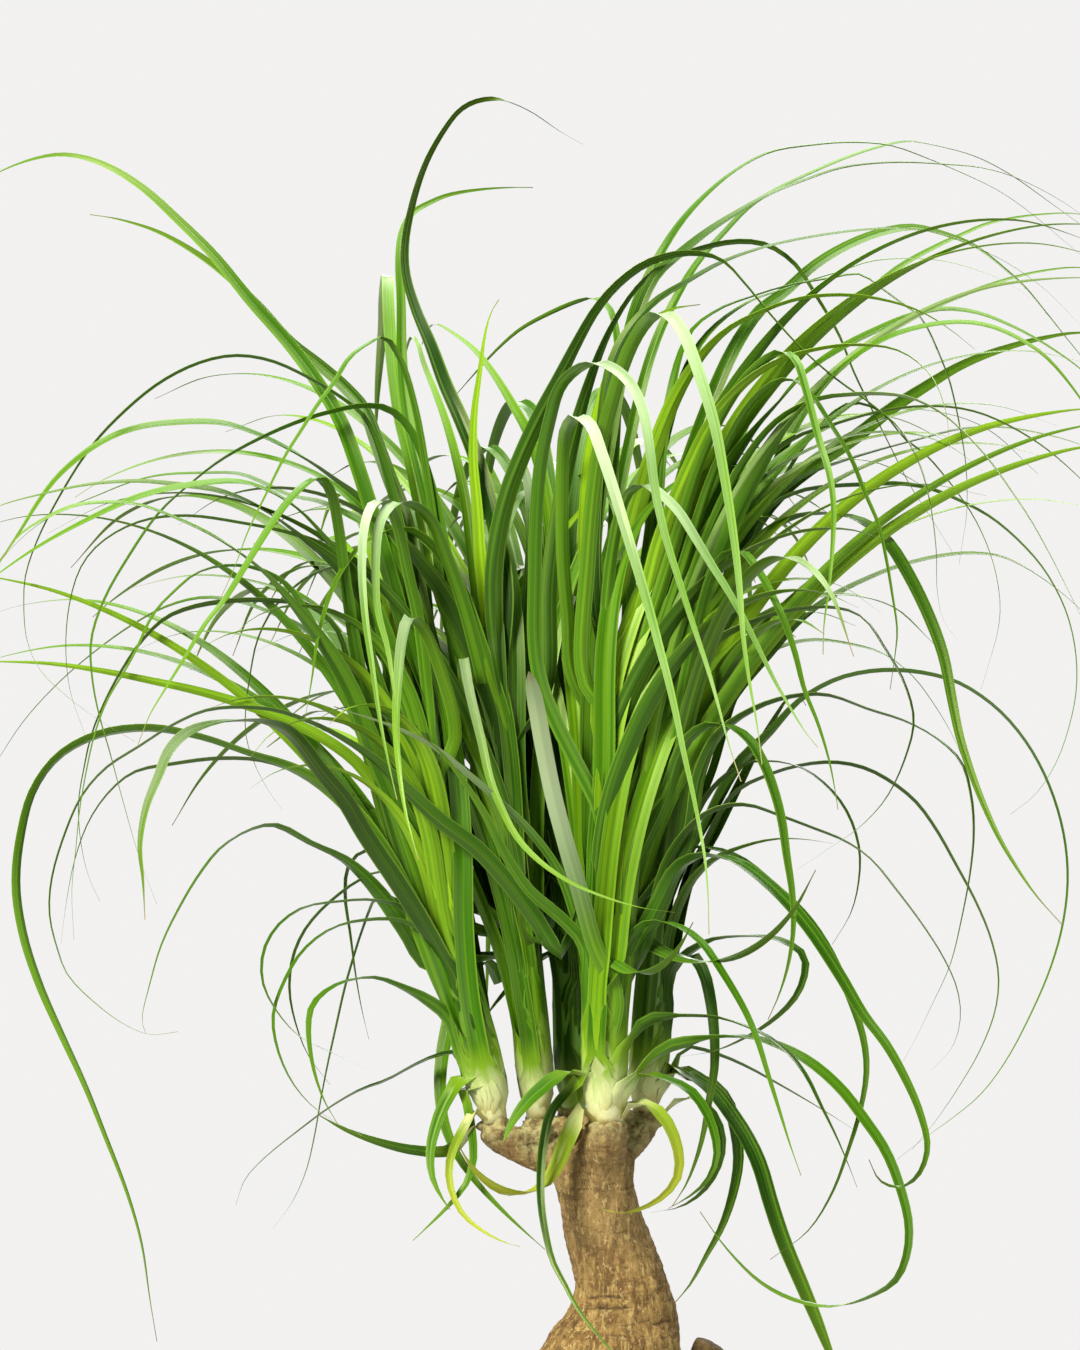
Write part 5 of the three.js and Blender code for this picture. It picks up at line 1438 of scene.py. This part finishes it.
def build_shoot(name, material):
    """The smooth heart of a shoot, round which the feet of its leaves are wrapped."""
    shoot = shoots[name]
    sides, rings = 28, 60
    pile = Pile(["level", "across"])
    vertices, faces = round_tube(shoot.axis, lambda f: float(shoot.skin(f)), sides, rings)
    level = np.repeat(np.linspace(0, 1, rings), sides) + shoot.greener
    pile.add(vertices, faces, level=level, across=np.tile(np.sin(np.arange(sides) * 0.9), rings))
    made = pile.build("heart_" + name, material)
    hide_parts("shoot_" + name)
    return made


# ---- the crown ----

def leaf_object(name, shells, material):
    pile = Pile(LEAF_KEYS)
    for vertices, faces, values in shells:
        pile.add(vertices, faces, **values)
    made = pile.build(name, material, LEAF_EDGE)
    return made


def build_traced_leaves(material):
    for leaf in CAD_LEAVES:
        made = leaf_object("blade_" + leaf[0], [traced_leaf(leaf)], material)
        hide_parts("leaf_" + leaf[0])
    for shoot in SHOOTS:
        shells = [traced_leaf(leaf) for leaf in MORE_LEAVES if leaf[1] == shoot]
        leaf_object("outer_leaves_" + shoot, shells, material)


# Leaves grown by rule: shoot, how many, the sides that they clasp, the ways that they arch, the heights
# of their arches, how late they arch, widths in millimetres, tones, and fans to the right.
NARROW, BROAD = (6.5, 11.5), (10.5, 13)
CROWN = [
    ("fan_front", "front", 13, (-30, 30), (50, 140), (0.64, 0.78), (2.0, 3.0), BROAD, (0.15, 0.85),
     (-0.1, 0.28)),
    ("inner_front", "front", 10, (120, 240), (130, 215), (0.64, 0.76), (1.8, 2.6), NARROW, (0.1, 0.7),
     (-0.14, 0.22)),
    ("fan_middle", "middle", 12, (-40, 40), (200, 290), (0.60, 0.74), (1.9, 2.8), NARROW, (0.0, 0.6),
     (-0.28, 0.16)),
    ("inner_middle", "middle", 14, (120, 240), (140, 220), (0.62, 0.75), (1.7, 2.6), NARROW, (0.0, 0.7),
     (-0.28, 0.16)),
    ("fan_left", "left", 9, (-50, 50), (190, 300), (0.58, 0.72), (1.8, 2.6), NARROW, (0.0, 1.0),
     (-0.28, 0.2)),
    ("inner_left", "left", 9, (140, 240), (150, 240), (0.58, 0.72), (1.5, 2.4), NARROW, (0.0, 0.8),
     (-0.26, 0.1)),
    ("fan_right", "right", 2, (-30, 60), (10, 60), (0.62, 0.74), (1.8, 2.6), NARROW, (0.0, 0.5),
     (0.0, 0.12)),
    ("inner_right", "right", 3, (120, 220), (135, 205), (0.60, 0.74), (1.5, 2.4), NARROW, (0.0, 0.6),
     (-0.1, 0.1)),
    ("arcs_right", "front", 15, (60, 150), (75, 110), (0.70, 0.90), (1.7, 2.6), NARROW, (0.4, 0.9),
     (0.04, 0.34)),
    ("arcs_left", "left", 7, (180, 330), (250, 290), (0.56, 0.71), (1.3, 1.9), NARROW, (0.4, 0.9),
     (-0.25, 0.0)),
    # shade_back leaves take dark tones: painted shade in the middle of the crown.
    ("shade_back", "back", 26, (-80, 80), (150, 235), (0.56, 0.70), (1.8, 2.8), NARROW, (0.0, 0.2),
     (-0.30, 0.06)),
    ("arching_back", "back", 20, (130, 230), (150, 225), (0.60, 0.80), (1.0, 1.7), NARROW, (0.1, 0.7),
     (-0.2, 0.06)),
    ("low_back", "back", 11, (135, 230), (135, 230), (0.45, 0.62), (0.7, 1.1), NARROW, (0.1, 0.6),
     (-0.1, 0.06)),
]


FEET_FROM, FEET_BAND, FEET_STRIDE, FEET_SPREAD = 0.09, 0.68, 5.18, (-0.01, 0.04)
FAN_SPREAD = (-1.5, 2.5)
LEANS, DROOPS = (1, 6), (115, 160)
# Some grown leaves get a painted sheen, a painted highlight round their bend.
SHEEN_CHOICES = [0, 0, 0, 0.4]
TRIES_EACH = 30


def build_crown(material):
    for name, shoot, amount, sides, azimuths, tops, powers, widths, tones, fans in CROWN:
        rng = random.Random(name)
        shells = []
        tries = 0
        while len(shells) < amount and tries < TRIES_EACH * amount:
            tries += 1
            step = len(shells) / amount
            up = FEET_FROM + FEET_BAND * ((step * FEET_STRIDE) % 1) + rng.uniform(*FEET_SPREAD)
            fan = fans[0] + (fans[1] - fans[0]) * (step + rng.uniform(*FAN_SPREAD) / amount)
            shell = grown_leaf(shoots[shoot], up, rng.uniform(*sides), rng.uniform(*azimuths),
                               rng.uniform(*tops), rng.uniform(*widths), rng.uniform(*LEANS),
                               rng.uniform(*DROOPS), rng.uniform(*powers), rng.uniform(*tones),
                               rng.choice(SHEEN_CHOICES), fan)
            if inside(shell[0]):
                shells.append(shell)
        leaf_object(name, shells, material)


# ---- studio ----

BACKDROP = (0.89, 0.882, 0.875)
AMBIENT = 0.085
FLOOR_RADIUS = 1.5
FLOOR_HEIGHT = -0.0005
FLOOR_SIDES = 96
FLOOR_COLOR = (0.42, 0.416, 0.412)
SENSOR_HEIGHT = 36

# Lights: name, place, the point they face, size, watts and colour.
LIGHTS = [
    ("key", (-1.7, -2.0, 2.3), (0, 0, 0.6), (1.2, 1.2), 202, (1, 0.97, 0.9)),
    ("fill", (2.2, -1.8, 1.1), (0, 0, 0.5), (1.6, 1.8), 32, (1, 1, 1)),
    ("top", (0.1, 0.3, 2.6), (0, 0, 0.6), (1.8, 1.8), 85, (1, 1, 1)),
    ("rim", (0.6, 2.4, 1.6), (0, 0, 0.6), (1.8, 1.4), 40, (1, 1, 1)),
]


def softbox(name, place_at, aim, size, power, color):
    light = bpy.data.lights.new(name, "AREA")
    light.shape = "RECTANGLE"
    light.size, light.size_y = size
    light.energy = power
    light.color = color
    made = bpy.data.objects.new(name, light)
    made.location = place_at
    made.rotation_euler = (Vector(aim) - Vector(place_at)).to_track_quat("-Z", "Y").to_euler()
    bpy.context.scene.collection.objects.link(made)


def build_studio():
    scene = bpy.context.scene
    scene.view_settings.view_transform = "Standard"
    world = bpy.data.worlds.new("studio")
    world.use_nodes = True
    scene.world = world
    tree = world.node_tree
    background = tree.nodes["Background"]
    background.inputs["Color"].default_value = (*BACKDROP, 1)
    path = tree.nodes.new("ShaderNodeLightPath")
    level = tree.nodes.new("ShaderNodeMapRange")
    level.inputs["To Min"].default_value = AMBIENT
    level.inputs["To Max"].default_value = 1.0
    tree.links.new(path.outputs["Is Camera Ray"], level.inputs["Value"])
    tree.links.new(level.outputs[0], background.inputs["Strength"])
    for light in LIGHTS:
        softbox(*light)
    floor = make_object("studio_floor", circle(FLOOR_RADIUS, FLOOR_HEIGHT, FLOOR_SIDES),
                        [tuple(range(FLOOR_SIDES))],
                        material=plain_material("pale_floor", FLOOR_COLOR, 0.85))
    floor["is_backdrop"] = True
    lens = bpy.data.cameras.new("photo_camera")
    lens.sensor_fit = "VERTICAL"
    lens.sensor_height = SENSOR_HEIGHT
    lens.lens = SENSOR_HEIGHT * -EYE.y / (PHOTO_HEIGHT * SKETCH_UNIT)
    camera = bpy.data.objects.new("photo_camera", lens)
    camera.location = EYE
    camera.rotation_euler = (math.pi / 2, 0, 0)
    scene.collection.objects.link(camera)
    scene.camera = camera


def main():
    build_studio()
    sheath = sheath_material()
    blade = leaf_material()
    build_pot(pot_material())
    build_trunk(bark_material())
    build_soil(soil_material())
    for name, amount, sizes, stretch, seed, look in STREWN:
        scatter(name, amount, sizes, stretch, seed, chip_material(*look))
    for name in SHOOTS:
        build_shoot(name, sheath)
    build_traced_leaves(blade)
    build_crown(blade)
    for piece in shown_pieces():
        if piece.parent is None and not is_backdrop(piece):
            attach(piece, "root")


main()
